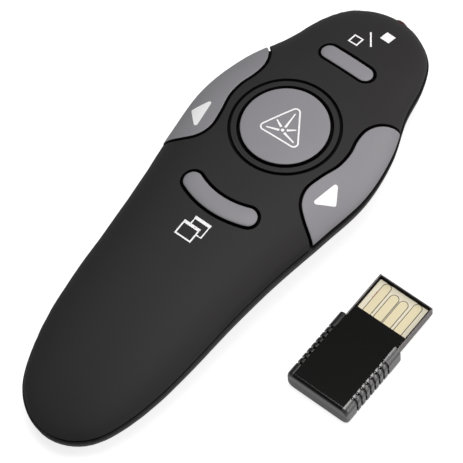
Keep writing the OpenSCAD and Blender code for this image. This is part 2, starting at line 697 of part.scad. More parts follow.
// ---- Receiver -----------------------------------------------------------
rec_wall = 0.9;
rec_split = 2.6;                     // height of its parting line
rec_edge = 1.3;                      // rounding of its long edges
grip_n = 8;
grip_pitch = 1.3;
grip_slot = 0.55;
grip_deep = 0.6;
grip_y0 = -3.4;                      // first grip slot
step_y = -3.1;                       // the cover steps down in front of this
step_drop = 0.45;
plug_z0 = 1.45;
sheet_t = 0.3;                       // of the plug's tray
contact_y0 = 2.9;                    // where the cover's apron ends
rec_board_t = 1;
contact_t = 0.06;
module beside() { translate([rec_x, -rec_back, 0]) children(); }
module rec_section(inset = 0) {
    r = rec_edge - inset;
    w = rec_w - 2*inset;
    for (s = [-1, 1]) for (z = [rec_edge, rec_h - rec_edge])
        translate([s*(w/2 - r), z]) circle(r = r, $fn = 32);
    translate([-w/2, rec_edge]) square([w, rec_h - 2*rec_edge]);
    translate([-w/2 + r, inset]) square([w - 2*r, rec_h - 2*inset]);
}
module rec_block(y0, y1, inset = 0) {
    translate([0, y1, 0]) rotate([90, 0, 0]) linear_extrude(y1 - y0) rec_section(inset);
}
module rec_body() {
    difference() {
        rec_block(-rec_l, 0);
        rec_block(-rec_l + rec_wall, -rec_wall, rec_wall);
        for (i = [0 : grip_n - 1]) both()
            block(rec_w/2 - grip_deep, rec_w/2 + 1, grip_y0 - grip_pitch*i - grip_slot,
                  grip_y0 - grip_pitch*i, -1, rec_h + 1);
    }
}
module plug_hole(grow) {
    middle(plug_w + 2*grow, -rec_wall - 1, 1, plug_z0 - grow, plug_z0 + plug_h + grow);
}
module receiver_cover() {
    color("#232222") beside() difference() {
        union() {
            intersection() {
                rec_body();
                block(-20, 20, -rec_l - 1, 1, rec_split, 20);
            }
            // apron over the plug
            middle(plug_w - 2*sheet_t - 0.1, -1, contact_y0,
                   plug_z0 + sheet_t + rec_board_t + 0.25, plug_z0 + plug_h + 0.35);
        }
        middle(plug_w - 1.4, step_y, 1, rec_h - step_drop, rec_h + 1);
        difference() {
            plug_hole(0.05);
            middle(plug_w - 2*sheet_t - 0.1, -5, 2, plug_z0 + sheet_t + rec_board_t + 0.25, 20);
        }
    }
}
module receiver_base() {
    color("#232222") beside() difference() {
        intersection() {
            rec_body();
            block(-20, 20, -rec_l - 1, 1, -1, rec_split);
        }
        plug_hole(0.05);
    }
}
module plug_tray() {
    color("#b9b6b2") beside() difference() {
        middle(plug_w, -rec_wall - 0.9, plug_l, plug_z0, plug_z0 + plug_h);
        middle(plug_w - 2*sheet_t, -5, plug_l - sheet_t, plug_z0 + sheet_t, 10);
    }
}
module receiver_board() {
    z = plug_z0 + sheet_t;
    color("#c8c1a2") beside()
        middle(plug_w - 2*sheet_t - 0.3, -rec_l + rec_wall + 0.5, plug_l - sheet_t - 0.15, z,
               z + rec_board_t);
}
contact_w = 1.5;
contact_x = [-3.75, -1.1, 1.1, 3.75];
contact_y1 = [9.4, 8.2, 8.2, 9.4];
module receiver_contacts() {
    z = plug_z0 + sheet_t + rec_board_t;
    color("#d8bd6a") beside() translate([0, 0, z]) for (i = [0 : 3])
        linear_extrude(contact_t) {
            translate([contact_x[i] - contact_w/2, contact_y0 + 0.1])
                square([contact_w, contact_y1[i] - contact_w/2 - contact_y0 - 0.1]);
            translate([contact_x[i], contact_y1[i] - contact_w/2])
                circle(d = contact_w, $fn = 32);
        }
}
// A flat component on the receiver's board, that far behind the plug's root
module rec_component(back, x, size) {
    color(size == crystal_size ? "#c8ccd0" : "#202020")
        beside() translate([x, -back, plug_z0 + sheet_t + rec_board_t]) cube(size);
}
module receiver_chip() { rec_component(9, -3, chip_size); }
module receiver_crystal() { rec_component(13, -crystal_size[0]/2, crystal_size); }

upper_shell();
lower_shell();
battery_door();
laser_key();
next_key();
previous_key();
screen_key();
window_key();
main_board();
key_switches();
laser_key_plunger();
next_key_plunger();
previous_key_plunger();
screen_key_plunger();
window_key_plunger();
radio_chip();
crystal();
board_capacitors();
laser_barrel();
laser_lens();
laser_diode();
laser_driver_board();
laser_leads();
laser_window();
battery_cell();
cell_cap();
battery_spring();
minus_plate();
plus_plate();
battery_lead();
case_screws();
receiver_cover();
receiver_base();
plug_tray();
receiver_board();
receiver_contacts();
receiver_chip();
receiver_crystal();
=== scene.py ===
# %% [markdown]
# # A wireless presentation clicker and its receiver
# The handset is two soft curved shells with five keys let into the upper one.
# The receiver is a glossy little box with a flat plug, and lies beside it. What
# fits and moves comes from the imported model. This script gives it its looks:
# smooth skins, soft edges, printed legends and finishes.

# %% Load the frame
import bpy
import bmesh
import math
import numpy as np
from mathutils import Matrix, Vector
from mathutils.geometry import delaunay_2d_cdt


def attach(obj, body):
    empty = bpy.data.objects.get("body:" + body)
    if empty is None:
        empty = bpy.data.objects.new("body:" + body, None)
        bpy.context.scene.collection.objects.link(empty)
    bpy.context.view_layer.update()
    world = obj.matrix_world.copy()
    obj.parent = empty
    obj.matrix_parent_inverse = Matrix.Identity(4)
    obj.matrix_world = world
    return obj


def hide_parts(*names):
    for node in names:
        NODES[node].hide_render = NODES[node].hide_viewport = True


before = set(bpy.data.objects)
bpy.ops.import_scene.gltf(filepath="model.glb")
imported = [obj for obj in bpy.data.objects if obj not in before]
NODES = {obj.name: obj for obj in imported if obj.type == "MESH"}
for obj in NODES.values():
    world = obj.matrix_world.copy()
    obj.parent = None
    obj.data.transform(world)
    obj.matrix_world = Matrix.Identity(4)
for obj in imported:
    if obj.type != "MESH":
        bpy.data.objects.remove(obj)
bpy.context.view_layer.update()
MM = 0.001

# %% [markdown]
# ## The camera comes first
# The camera stands above and to the right of the handset's tail, with a long
# lens. It is written as the angles it looks from, so it can be set before
# anything is modelled, and every piece can be judged through it.

# %% The camera
FRAME_PX = 463
SENSOR_MM = 36.0
AZIMUTH, ELEVATION, ROLL = (math.radians(a) for a in (45.5, 61.2, -7.6))
DISTANCE_MM = 500.0
PX_PER_MM = 5.35                         # at the origin's distance
ORIGIN_PX = (234.2, 238.65)
AIM_MM = Vector((0, 0.65, 0))

back = Vector((math.sin(AZIMUTH) * math.cos(ELEVATION),
               -math.cos(AZIMUTH) * math.cos(ELEVATION), math.sin(ELEVATION)))
level_right = Vector((math.cos(AZIMUTH), math.sin(AZIMUTH), 0))
level_up = back.cross(level_right)
right = math.cos(ROLL) * level_right + math.sin(ROLL) * level_up
up = back.cross(right)

lens = bpy.data.cameras.new("camera")
lens.sensor_width = SENSOR_MM
lens.lens = PX_PER_MM * DISTANCE_MM * SENSOR_MM / FRAME_PX
lens.shift_x = (FRAME_PX / 2 - ORIGIN_PX[0]) / FRAME_PX
lens.shift_y = (ORIGIN_PX[1] - FRAME_PX / 2) / FRAME_PX
lens.clip_start = 0.01
camera = bpy.data.objects.new("camera", lens)
bpy.context.scene.collection.objects.link(camera)
spot = (AIM_MM + back * DISTANCE_MM) * MM
camera.matrix_world = Matrix(((right.x, up.x, back.x, spot.x),
                              (right.y, up.y, back.y, spot.y),
                              (right.z, up.z, back.z, spot.z), (0, 0, 0, 1)))
bpy.context.scene.camera = camera
print("lens", round(lens.lens, 1), "mm")

# %% [markdown]
# ## The form of the two shells
# Seen from above, the outline swells under the thumb and narrows to the tail.
# It is a list of half widths at equal angles from the nose to the tail, joined
# by a smooth curve. Across, each shell is a superellipse: flatter than a
# circle on top, fuller at the sides. One formula gives any point of a shell,
# so every skin, key and legend can lie exactly on it.

# %% The outline and the heights, in millimetres
BODY_L, BODY_W = 106.0, 38.7
HALF_L, HALF_W = BODY_L / 2, BODY_W / 2
OUTLINE = np.array([0, 0.253, 0.493, 0.636, 0.733, 0.915, 1, 0.937, 0.847, 0.786, 0.749,
                    0.695, 0.599, 0.46, 0.248, 0])
SEAM_H, SEAM_RISE, SEAM_SAG = 12.2, 1.2, 4.8
DOME_H, DOME_RISE, DOME_SAG = 6.6, 0.8, 2.0
BELLY_SINK = 2.5
WALL = 1.5


def half_width(th):
    """Half the width at the angle th from the nose, through the outline."""
    step = np.asarray(th) * (len(OUTLINE) - 1) / math.pi
    i = np.clip(np.floor(step).astype(int), 0, len(OUTLINE) - 2)
    f = step - i
    padded = np.concatenate([[-OUTLINE[1]], OUTLINE, [-OUTLINE[-2]]])
    a, b, c, d = (padded[i + k] for k in range(4))
    return HALF_W * 0.5 * (2 * b + (c - a) * f + (2 * a - 5 * b + 4 * c - d) * f**2
                           + (3 * b - a - 3 * c + d) * f**3)


def seam_z(y):
    """Height of the parting line."""
    s = np.asarray(y) / HALF_L
    return SEAM_H + SEAM_RISE * s - SEAM_SAG * s * s


print("half width at the keys:", round(float(half_width(math.radians(70))), 2), "mm")

# %% [markdown]
# ## A shell as a formula
# The two shells could be sculpted or lofted meshes. As a formula they have a
# point for any angle along and across, as fine as any piece needs it. Lengths
# on the surface have no formula, so a table of them is added up once.


# %% A shell's form
class Form:
    """One shell: power bends its section, and sign is 1 up or -1 down."""

    stations, samples = 400, 240

    def __init__(self, power, end_power, sign):
        self.power, self.end_power, self.sign = power, end_power, sign
        self.th = np.linspace(0, math.pi, self.stations)
        self.angles = np.linspace(0, math.pi / 2, self.samples)[::-1]
        grid = self.point(self.th[:, None], self.angles[None, :])
        steps = np.diff(grid, axis=1)
        reach = np.cumsum(np.hypot(steps[..., 0], steps[..., 2]), axis=1)
        self.across = np.hstack([np.zeros((self.stations, 1)), reach])
        keel = np.diff(grid[:, 0], axis=0)
        self.along = np.concatenate([[0], np.cumsum(np.hypot(keel[:, 1], keel[:, 2]))])

    def point(self, th, a):
        """The surface at station angle th and section angle a, 0 at the seam."""
        th, a = np.broadcast_arrays(th, a)
        y = HALF_L * np.cos(th)
        s = np.cos(th)
        ends = np.sqrt(np.maximum(0, 1 - np.abs(s) ** self.end_power))
        x = half_width(th) * np.maximum(0, np.cos(a)) ** (2 / self.power)
        lift = np.maximum(0, np.sin(a)) ** (2 / self.power)
        if self.sign > 0:
            z = seam_z(y) + (DOME_H + DOME_RISE * s - DOME_SAG * s * s) * ends * lift
        else:
            z = np.maximum(0, seam_z(y) - (seam_z(y) + BELLY_SINK) * ends * lift)
        return np.stack([x, y, z], axis=-1)

    def station(self, u):
        """The station angle at the length u from the nose."""
        return np.interp(u, self.along, self.th)

    def rim(self, u):
        """How far v reaches at u."""
        return np.interp(self.station(u), self.th, self.across[:, -1])


print("stations along a shell:", Form.stations)

# %% [markdown]
# ## Unrolling a shell
# A key opening is drawn flat, but it has to sit on a curved skin with an edge
# of even width. So each shell is unrolled: u runs along it from the nose and
# v across it from the middle line, both measured on the surface itself. What
# is drawn in (u, v) keeps its true size when it is laid back on the shell.


# %% A shell, unrolled
class Skin(Form):
    """A shell that turns places on the plan into (u, v), and (u, v) into points."""

    def from_plan(self, x, y):
        """(u, v) of the place above or below (x, y)."""
        x, y = np.atleast_1d(np.asarray(x, float)), np.atleast_1d(np.asarray(y, float))
        th = np.arccos(np.clip(y / HALF_L, -1, 1))
        share = np.clip(np.abs(x) / np.maximum(half_width(th), 1e-6), 0, 1)
        a = np.arccos(share ** (self.power / 2))
        return np.stack([np.interp(th, self.th, self.along),
                         np.sign(x) * self.reach_at(th, a)], axis=-1)

    def reach_at(self, th, a):
        """Arc length from the middle line to the section angle a."""
        row = np.interp(th, self.th, np.arange(self.stations))
        i = np.clip(row.astype(int), 0, self.stations - 2)
        f = row - i
        down = self.angles[::-1]
        near = np.array([np.interp(q, down, self.across[k][::-1]) for q, k in zip(a, i)])
        far = np.array([np.interp(q, down, self.across[k + 1][::-1]) for q, k in zip(a, i)])
        return near * (1 - f) + far * f

    def from_level(self, th, rise):
        """(u, v) of the place on the right that stands rise above the seam."""
        th = np.asarray(th, float)
        top = self.point(th, np.full_like(th, math.pi / 2))[:, 2] - seam_z(HALF_L * np.cos(th))
        a = np.arcsin(np.clip(rise / np.maximum(top, 1e-6), 0, 1) ** (self.power / 2))
        return np.stack([np.interp(th, self.th, self.along), self.reach_at(th, a)], axis=-1)

    def lay(self, uv):
        """Points and outward normals on the shell for rows of (u, v)."""
        th = self.station(uv[:, 0])
        row = np.interp(th, self.th, np.arange(self.stations))
        i = np.clip(row.astype(int), 0, self.stations - 2)
        f = row - i
        v = np.abs(uv[:, 1])
        near = np.array([np.interp(q, self.across[k], self.angles) for q, k in zip(v, i)])
        far = np.array([np.interp(q, self.across[k + 1], self.angles) for q, k in zip(v, i)])
        a = near * (1 - f) + far * f
        p = self.point(th, a)
        slip = 2e-3
        t0, t1 = np.clip(th - slip, 0, math.pi), np.clip(th + slip, 0, math.pi)
        a0, a1 = np.clip(a - slip, 0, math.pi / 2), np.clip(a + slip, 0, math.pi / 2)
        along = self.point(t1, a) - self.point(t0, a)
        over = self.point(th, a1) - self.point(th, a0)
        n = self.sign * np.cross(over, along)
        n /= np.maximum(np.linalg.norm(n, axis=1, keepdims=True), 1e-9)
        flip = np.where(uv[:, 1] < 0, -1.0, 1.0)
        p[:, 0] *= flip
        n[:, 0] *= flip
        return p, n


UPPER = Skin(2.4, 6, 1)
LOWER = Skin(1.75, 12, -1)
print("upper shell, unrolled: %.1f mm long" % UPPER.along[-1])

# %% [markdown]
# ## A skin cut to a pattern
# A dressmaker cuts a piece of cloth to a paper pattern. Here the pattern is
# one or more loops in (u, v), the first outside and the rest as holes in it.
# Two questions are asked again and again: how far a point lies from the
# nearest edge, and whether it is inside.

# %% Loops and distances


def spaced(loop, step):
    """The closed loop again, with points no further apart than step."""
    out = []
    for a, b in zip(loop, np.roll(loop, -1, axis=0)):
        n = max(1, int(math.ceil(np.linalg.norm(b - a) / step)))
        out.extend(a + (b - a) * k / n for k in range(n))
    return np.array(out)


def signed_area(loop):
    """The area of a loop, negative when it runs clockwise."""
    x, y = loop[:, 0], loop[:, 1]
    return 0.5 * float(np.sum(x * np.roll(y, -1) - y * np.roll(x, -1)))


def distance_to(points, loops, chunk=1500):
    """The distance from each point to the nearest edge, and whether it is inside."""
    a = np.vstack(loops)
    b = np.vstack([np.roll(loop, -1, axis=0) for loop in loops])
    d = b - a
    length2 = np.maximum((d * d).sum(1), 1e-12)
    far, inside = [], []
    for k in range(0, len(points), chunk):
        p = points[k:k + chunk, None, :]
        t = np.clip(((p - a) * d).sum(2) / length2, 0, 1)
        far.append(np.sqrt((((a + t[..., None] * d) - p) ** 2).sum(2).min(1)))
        cross = (a[:, 1] > p[..., 1]) != (b[:, 1] > p[..., 1])
        slope = d[:, 0] / np.where(np.abs(d[:, 1]) < 1e-12, 1e-12, d[:, 1])
        x = a[:, 0] + (p[..., 1] - a[:, 1]) * slope
        inside.append((cross & (p[..., 0] < x)).sum(1) % 2 == 1)
    return np.concatenate(far), np.concatenate(inside)


unit_square = np.array([(0, 0), (1, 0), (1, 1), (0, 1)], float)
print("area of a unit square:", signed_area(unit_square))

# %% [markdown]
# ## The cloth
# The mesh between the loops is made of triangles by Delaunay's rule, which
# keeps them as even as it can. Rows of points run close along every edge, so
# that the edge can roll over softly as a moulded one does. A subdivided box
# cut with booleans would leave long thin faces there, and they shade badly.

# %% Cutting a pattern
ROW_HEIGHT = 0.87                        # of an even triangle with sides of 1
ROW_SLACK, EDGE_CLEAR, EXTRA_CLEAR = 0.93, 0.45, 0.5


def cut_pattern(loops, rows, grid, step, extra=None):
    """Points, triangles and edge distances of the region between the loops."""
    loops = [spaced(loop if (signed_area(loop) > 0) == (k == 0) else loop[::-1], step)
             for k, loop in enumerate(loops)]
    points = [np.vstack(loops)]
    for s in rows:
        ring = []
        for loop in loops:
            t = np.roll(loop, -1, axis=0) - np.roll(loop, 1, axis=0)
            t /= np.maximum(np.linalg.norm(t, axis=1, keepdims=True), 1e-9)
            ring.append(loop + s * np.stack([-t[:, 1], t[:, 0]], axis=1))
        ring = np.vstack(ring)
        far, inside = distance_to(ring, loops)
        points.append(ring[inside & (far > ROW_SLACK * s)])
    lo, hi = loops[0].min(0), loops[0].max(0)
    gx, gy = np.meshgrid(np.arange(lo[0], hi[0], grid),
                         np.arange(lo[1], hi[1], grid * ROW_HEIGHT))
    gx = gx + np.where(np.arange(gx.shape[0]) % 2, grid / 2, 0)[:, None]
    field = np.stack([gx.ravel(), gy.ravel()], axis=1)
    if extra is not None:
        near = np.array([np.abs(extra - q).sum(1).min() for q in field])
        field = np.vstack([field[near > EXTRA_CLEAR * grid], extra])
    far, inside = distance_to(field, loops)
    margin = (rows[-1] if rows else 0) + EDGE_CLEAR * min(grid, step)
    points.append(field[inside & (far > margin)])
    every = np.vstack(points)
    edges, start = [], 0
    for loop in loops:
        n = len(loop)
        edges += [(start + k, start + (k + 1) % n) for k in range(n)]
        start += n
    made = delaunay_2d_cdt([Vector(p) for p in every], edges, [], 0, 1e-7)
    out = np.array([tuple(p) for p in made[0]])
    faces = np.array([f for f in made[2] if len(f) == 3])
    middle = out[faces].mean(1)
    _, inside = distance_to(middle, loops)
    faces = faces[inside]
    far, _ = distance_to(out, loops)
    return out, faces, far


print("pattern cutter ready")

# %% [markdown]
# ## From points to a piece
# Every piece is made in millimetres and turned into metres at the last moment.
# It is shaded smooth, but where two faces meet at a clear angle the edge is
# marked sharp, or the shading would smear round it.

# %% A piece from points and faces
SHARP_ANGLE = math.radians(35)


def new_piece(name, verts, faces, material):
    """A mesh object in metres from points in millimetres, smooth where it is soft."""
    mesh = bpy.data.meshes.new(name)
    mesh.from_pydata([tuple(v) for v in np.asarray(verts) * MM], [],
                     [tuple(int(i) for i in f) for f in faces])
    mesh.validate()
    tidy = bmesh.new()
    tidy.from_mesh(mesh)
    bmesh.ops.remove_doubles(tidy, verts=tidy.verts, dist=1e-7)
    loose = [v for v in tidy.verts if not v.link_faces]
    bmesh.ops.delete(tidy, geom=loose, context="VERTS")
    bmesh.ops.recalc_face_normals(tidy, faces=tidy.faces)
    tidy.to_mesh(mesh)
    tidy.free()
    mesh.shade_smooth()
    mesh.set_sharp_from_angle(angle=SHARP_ANGLE)
    piece = bpy.data.objects.new(name, mesh)
    bpy.context.scene.collection.objects.link(piece)
    mesh.materials.append(material)
    return piece


print("edges over %.0f degrees are sharp" % math.degrees(SHARP_ANGLE))

# %% [markdown]
# ## From a pattern to a solid
# A moulded part is never a bare sheet. The cut pattern is laid on the shell,
# copied inwards by the wall's thickness, and the two are joined round every
# edge. The result is a closed solid, which prints, exports and shades as the
# real piece would.

# %% Solids on a shell


def rolled(far, radius):
    """How far a rounded edge has dropped at a distance from that edge."""
    s = np.clip(far, 0, radius)
    return -(radius - np.sqrt(np.maximum(0, radius**2 - (radius - s) ** 2)))


def slab(tris, top, low):
    """Points and faces of a closed solid between two sheets of the same triangles."""
    count = len(top)
    sides = {(int(a), int(b)) for f in tris for a, b in zip(f, np.roll(f, -1))}
    walls = [(a + count, b + count, b, a) for a, b in sides if (b, a) not in sides]
    faces = [tuple(f) for f in tris] + [tuple(f[::-1] + count) for f in tris]
    return np.vstack([top, low]), faces + walls


def skin_solid(skin, loops, height, depth, rows=(0.03, 0.09, 0.18, 0.3), grid=1.1,
               step=0.45, extra=None):
    """A slab on a shell; height(points, far) lifts its outer face."""
    uv, tris, far = cut_pattern(loops, list(rows), grid, step, extra)
    p, n = skin.lay(uv)
    return slab(tris, p + n * height(p, far)[:, None], p - n * depth)


def together(*solids):
    """Several solids as one list of points and one of faces."""
    verts, faces = [], []
    for v, f in solids:
        start = len(verts)
        verts += [tuple(p) for p in v]
        faces += [tuple(int(i) + start for i in face) for face in f]
    return np.array(verts), faces


print("solid cutter ready")

# %% [markdown]
# ## Finishes
# Each finish is built from a Principled shader and a little noise. Real
# mouldings have a fine grain in their height and roughness, so a bump and a
# roughness ramp carry it. What is the same all over is set on the shader.

# %% Building a finish
MOTTLE_SCALE, GRAIN_HEIGHT, ROUGH_SPREAD = 90, 0.02, 0.02


def srgb(r, g, b):
    """A colour as a paint card states it, 0 to 255, in linear light."""
    return tuple(((v / 255) / 12.92 if v <= 10 else ((v / 255 + 0.055) / 1.055) ** 2.4)
                 for v in (r, g, b)) + (1.0,)


def finish(name, colour, rough, metal=0.0, grain_mm=0.25, bump=0.1, mottle=0.06,
           specular=0.5, coat=0.0, coat_rough=0.1):
    """A moulded, painted or metal finish with a fine procedural grain."""
    m = bpy.data.materials.new(name)
    m.use_nodes = True
    nodes, links = m.node_tree.nodes, m.node_tree.links
    shader = nodes["Principled BSDF"]
    shader.inputs["Metallic"].default_value = metal
    shader.inputs["Specular IOR Level"].default_value = specular
    shader.inputs["Coat Weight"].default_value = coat
    shader.inputs["Coat Roughness"].default_value = coat_rough
    place = nodes.new("ShaderNodeTexCoord")
    fine = nodes.new("ShaderNodeTexNoise")
    fine.inputs["Scale"].default_value = 1 / (grain_mm * MM)
    fine.inputs["Detail"].default_value = 3
    broad = nodes.new("ShaderNodeTexNoise")
    broad.inputs["Scale"].default_value = MOTTLE_SCALE
    broad.inputs["Detail"].default_value = 2
    tint = nodes.new("ShaderNodeMapRange")
    tint.inputs["To Min"].default_value = 1 - mottle
    tint.inputs["To Max"].default_value = 1 + mottle
    paint = nodes.new("ShaderNodeVectorMath")
    paint.operation = "SCALE"
    paint.inputs[0].default_value = colour[:3]
    dull = nodes.new("ShaderNodeMapRange")
    dull.inputs["To Min"].default_value = rough - ROUGH_SPREAD
    dull.inputs["To Max"].default_value = rough + ROUGH_SPREAD
    relief = nodes.new("ShaderNodeBump")
    relief.inputs["Strength"].default_value = bump
    relief.inputs["Distance"].default_value = GRAIN_HEIGHT * MM
    for texture in (fine, broad):
        links.new(place.outputs["Object"], texture.inputs["Vector"])
    links.new(broad.outputs["Fac"], tint.inputs["Value"])
    links.new(tint.outputs["Result"], paint.inputs["Scale"])
    links.new(paint.outputs["Vector"], shader.inputs["Base Color"])
    links.new(fine.outputs["Fac"], dull.inputs["Value"])
    links.new(dull.outputs["Result"], shader.inputs["Roughness"])
    links.new(fine.outputs["Fac"], relief.inputs["Height"])
    links.new(relief.outputs["Normal"], shader.inputs["Normal"])
    return m


print("a middle grey in linear light: %.3f" % srgb(128, 128, 128)[0])

# %% [markdown]
# ## One finish for each real surface
# The upper shell has a soft paint that hardly shines, the caps a satin one. The
# receiver is polished, but its ridges are a little matt, as a textured mould
# leaves them, so they catch a broad light; their base colour is also lighter, a
# painted sheen. The black ones differ mostly in roughness and in how much they
# mirror, which is what tells blacks apart.

# %% The finishes of the handset and the receiver
SOFT_BLACK = finish("soft_touch_black", srgb(46, 45, 46), 0.6, grain_mm=0.12, bump=0.25,
                    mottle=0.05, specular=0.14)
CASE_BLACK = finish("case_black", srgb(20, 20, 21), 0.5, grain_mm=0.18, bump=0.35,
                    specular=0.2)
KEY_GREY = finish("key_grey", srgb(138, 137, 141), 0.52, grain_mm=0.1, bump=0.12, mottle=0.03,
                  specular=0.25)
# Rubber of the key mat, and the near black painted as shade on walls, in the groove and in the
# plug.
RUBBER_AND_SHADE_BLACK = finish("rubber_and_shade_black", srgb(10, 10, 10), 0.8, bump=0.05, specular=0.1)
LEGEND_WHITE = finish("legend_white", srgb(250, 250, 250), 0.5, bump=0.05, mottle=0.02)
GLOSS_BLACK = finish("receiver_gloss_black", srgb(7, 6, 5), 0.14, bump=0.04, specular=0.4,
                     coat=0.4, coat_rough=0.09)
# A lighter base than the polished black: painted sheen on the ridges. The matt roughness and coat
# are real.
GRIP_SATIN_SHEEN = finish("receiver_grip_satin_sheen", srgb(30, 28, 27), 0.4, bump=0.1, specular=1.0,
                    coat=1.0, coat_rough=0.35)
PLUG_STEEL = finish("plug_steel", srgb(116, 111, 110), 0.3, metal=1.0, grain_mm=0.08, bump=0.1)
CREAM = finish("cream_laminate", srgb(230, 222, 198), 0.45, bump=0.1, mottle=0.03, specular=0.3)
FINGER = finish("gold_finger", srgb(226, 215, 178), 0.4, metal=0.1, bump=0.05, specular=0.3)
MASK_BROWN = finish("mask_edge_brown", srgb(58, 50, 40), 0.5, bump=0.05)
BOARD_GREEN = finish("board_green", srgb(28, 88, 54), 0.35)
CHIP_BLACK = finish("chip_black", srgb(30, 30, 30), 0.6)
BRIGHT_METAL = finish("bright_metal", srgb(190, 192, 194), 0.3, metal=1.0)
SCREW_METAL = finish("screw_metal", srgb(140, 144, 148), 0.35, metal=1.0)
BRASS = finish("turned_brass", srgb(185, 150, 80), 0.3, metal=1.0)
CERAMIC = finish("ceramic_tan", srgb(181, 141, 93), 0.5)
CELL_BLUE = finish("cell_sleeve", srgb(63, 111, 159), 0.25, coat=0.4)
WIRE_RED = finish("wire_red", srgb(160, 48, 40), 0.35)
WIRE_BLACK = finish("wire_black", srgb(28, 28, 28), 0.35)
DARK_RED = finish("window_dark_red", srgb(70, 12, 12), 0.1, bump=0.0, coat=1.0,
                  coat_rough=0.03)
LENS = finish("lens_clear", srgb(215, 228, 236), 0.06, bump=0.0)
LENS.node_tree.nodes["Principled BSDF"].inputs["Transmission Weight"].default_value = 0.8
print("finishes:", len(bpy.data.materials))

# %% [markdown]
# ## The inside keeps its solids
# Board, chips, laser, cell and springs are already right as solids, and the
# closed case hides them. They only need their finishes.

# %% Finishes on the inner solids
INNER = {
    "main_board": BOARD_GREEN, "laser_driver_board": BOARD_GREEN, "key_switches": BRIGHT_METAL,
    "radio_chip": CHIP_BLACK, "receiver_chip": CHIP_BLACK, "crystal": BRIGHT_METAL,
    "receiver_crystal": BRIGHT_METAL, "board_capacitors": CERAMIC, "laser_barrel": BRASS,
    "laser_lens": LENS, "laser_diode": BRIGHT_METAL, "laser_leads": WIRE_RED,
    "battery_cell": CELL_BLUE, "cell_cap": BRIGHT_METAL,
    "battery_spring": BRIGHT_METAL, "minus_plate": BRIGHT_METAL, "plus_plate": BRIGHT_METAL,
    "battery_lead": WIRE_BLACK, "case_screws": SCREW_METAL, "laser_key_plunger": CHIP_BLACK,
    "next_key_plunger": CHIP_BLACK, "previous_key_plunger": CHIP_BLACK,
    "screen_key_plunger": CHIP_BLACK, "window_key_plunger": CHIP_BLACK,
}
for node, material in INNER.items():
    NODES[node].data.materials.clear()
    NODES[node].data.materials.append(material)
print("inner solids dressed:", len(INNER))

# %% [markdown]
# ## The patterns of the keys
# Every key is drawn once on the plan, in millimetres. The same outline, moved
# outwards by the gap, cuts the opening in the shell, so a key always fits.

# %% Key outlines on the plan
KEY_GAP, ROUND_GAP = 0.55, 0.65
ROUND_Y, ROUND_R = 17.4, 8.3
SCREEN_Y, SCREEN_L, SCREEN_W = 35.85, 11.5, 3.4
ARC_Y, ARC_R, ARC_W, ARC_HALF = -2.9, 16.0, 3.7, math.radians(23.5)


def arc_points(centre, r, a0, a1, n):
    """n points on an arc from the angle a0 to a1."""
    a = np.linspace(a0, a1, n)
    return np.stack([centre[0] + r * np.cos(a), centre[1] + r * np.sin(a)], axis=1)


def circle(centre, r, n):
    """n points round a circle."""
    return arc_points(centre, r, 0, 2 * math.pi, n + 1)[:-1]


def round_outline(g=0.0):
    """The laser's key; g moves any of these outlines outwards."""
    return circle((0, ROUND_Y), ROUND_R + g, 120)


def screen_outline(g=0.0):
    """A long key with round ends."""
    reach, r = (SCREEN_L - SCREEN_W) / 2, SCREEN_W / 2 + g
    quarter = math.pi / 2
    return np.vstack([arc_points((reach, SCREEN_Y), r, -quarter, quarter, 20),
                      arc_points((-reach, SCREEN_Y), r, quarter, 3 * quarter, 20)])


def window_outline(g=0.0):
    """A key bent round the middle of the shell, with round ends."""
    centre, r = (0, ARC_Y + ARC_R), ARC_W / 2 + g
    low = -math.pi / 2
    ends = [(centre[0] + ARC_R * math.cos(low + s * ARC_HALF),
             centre[1] + ARC_R * math.sin(low + s * ARC_HALF)) for s in (-1, 1)]
    return np.vstack([
        arc_points(centre, ARC_R + r, low - ARC_HALF, low + ARC_HALF, 30),
        arc_points(ends[1], r, low + ARC_HALF, low + ARC_HALF + math.pi, 16)[1:-1],
        arc_points(centre, ARC_R - r, low + ARC_HALF, low - ARC_HALF, 30),
        arc_points(ends[0], r, low - ARC_HALF + math.pi, low - ARC_HALF + 2 * math.pi, 16)[1:-1]])


print("key outlines: round %.1f, screen %.1f, arc %.1f mm" % (2 * ROUND_R, SCREEN_L, 2 * ARC_R))

# %% [markdown]
# ## The edge of a side key
# The side keys are waisted: they bend round the ring of the round key and flare
# at both ends. No arc fits that, so their inner edge is a smooth curve through
# fourteen points, measured from the middle of the round key.

# %% The side key's inner edge
WING_EDGE = np.array([[20.6, -16.4], [17.4, -14.4], [14.4, -12.6], [12.2, -10.6], [11.3, -7.8],
                      [11.9, -4.2], [12.9, -0.5], [12.9, 3], [12.2, 6], [12.1, 8.8],
                      [13.1, 11.4], [15, 13.4], [17.6, 14.8], [20.6, 15.8]])
WING_LIFT = 1.3


def smooth_line(points, n):
    """An open curve through the points."""
    p = np.vstack([points[0], points, points[-1]])
    out = []
    for i in range(len(points) - 1):
        a, b, c, d = p[i:i + 4]
        for f in np.arange(n) / n:
            out.append(0.5 * (2 * b + (c - a) * f + (2 * a - 5 * b + 4 * c - d) * f**2
                              + (3 * b - a - 3 * c + d) * f**3))
    return np.array(out + [points[-1]])


def wing_line(g=0.0):
    """The right side key's inner edge on the plan, moved towards the middle by g."""
    line = smooth_line(WING_EDGE, 6)
    t = np.gradient(line, axis=0)
    t /= np.linalg.norm(t, axis=1, keepdims=True)
    return line + g * np.stack([-t[:, 1], t[:, 0]], axis=1) + (0, ROUND_Y)


print("side key's waist: %.1f mm from the middle" % wing_line()[:, 0].min())

# %% [markdown]
# ## Two side keys that reach the parting line
# A side key is open at the bottom, where it ends just above the seam. Its
# pattern is closed by walking the inner edge one way and the lower edge back.

# %% Where the side keys meet the shell's edge
LEVELS = {}


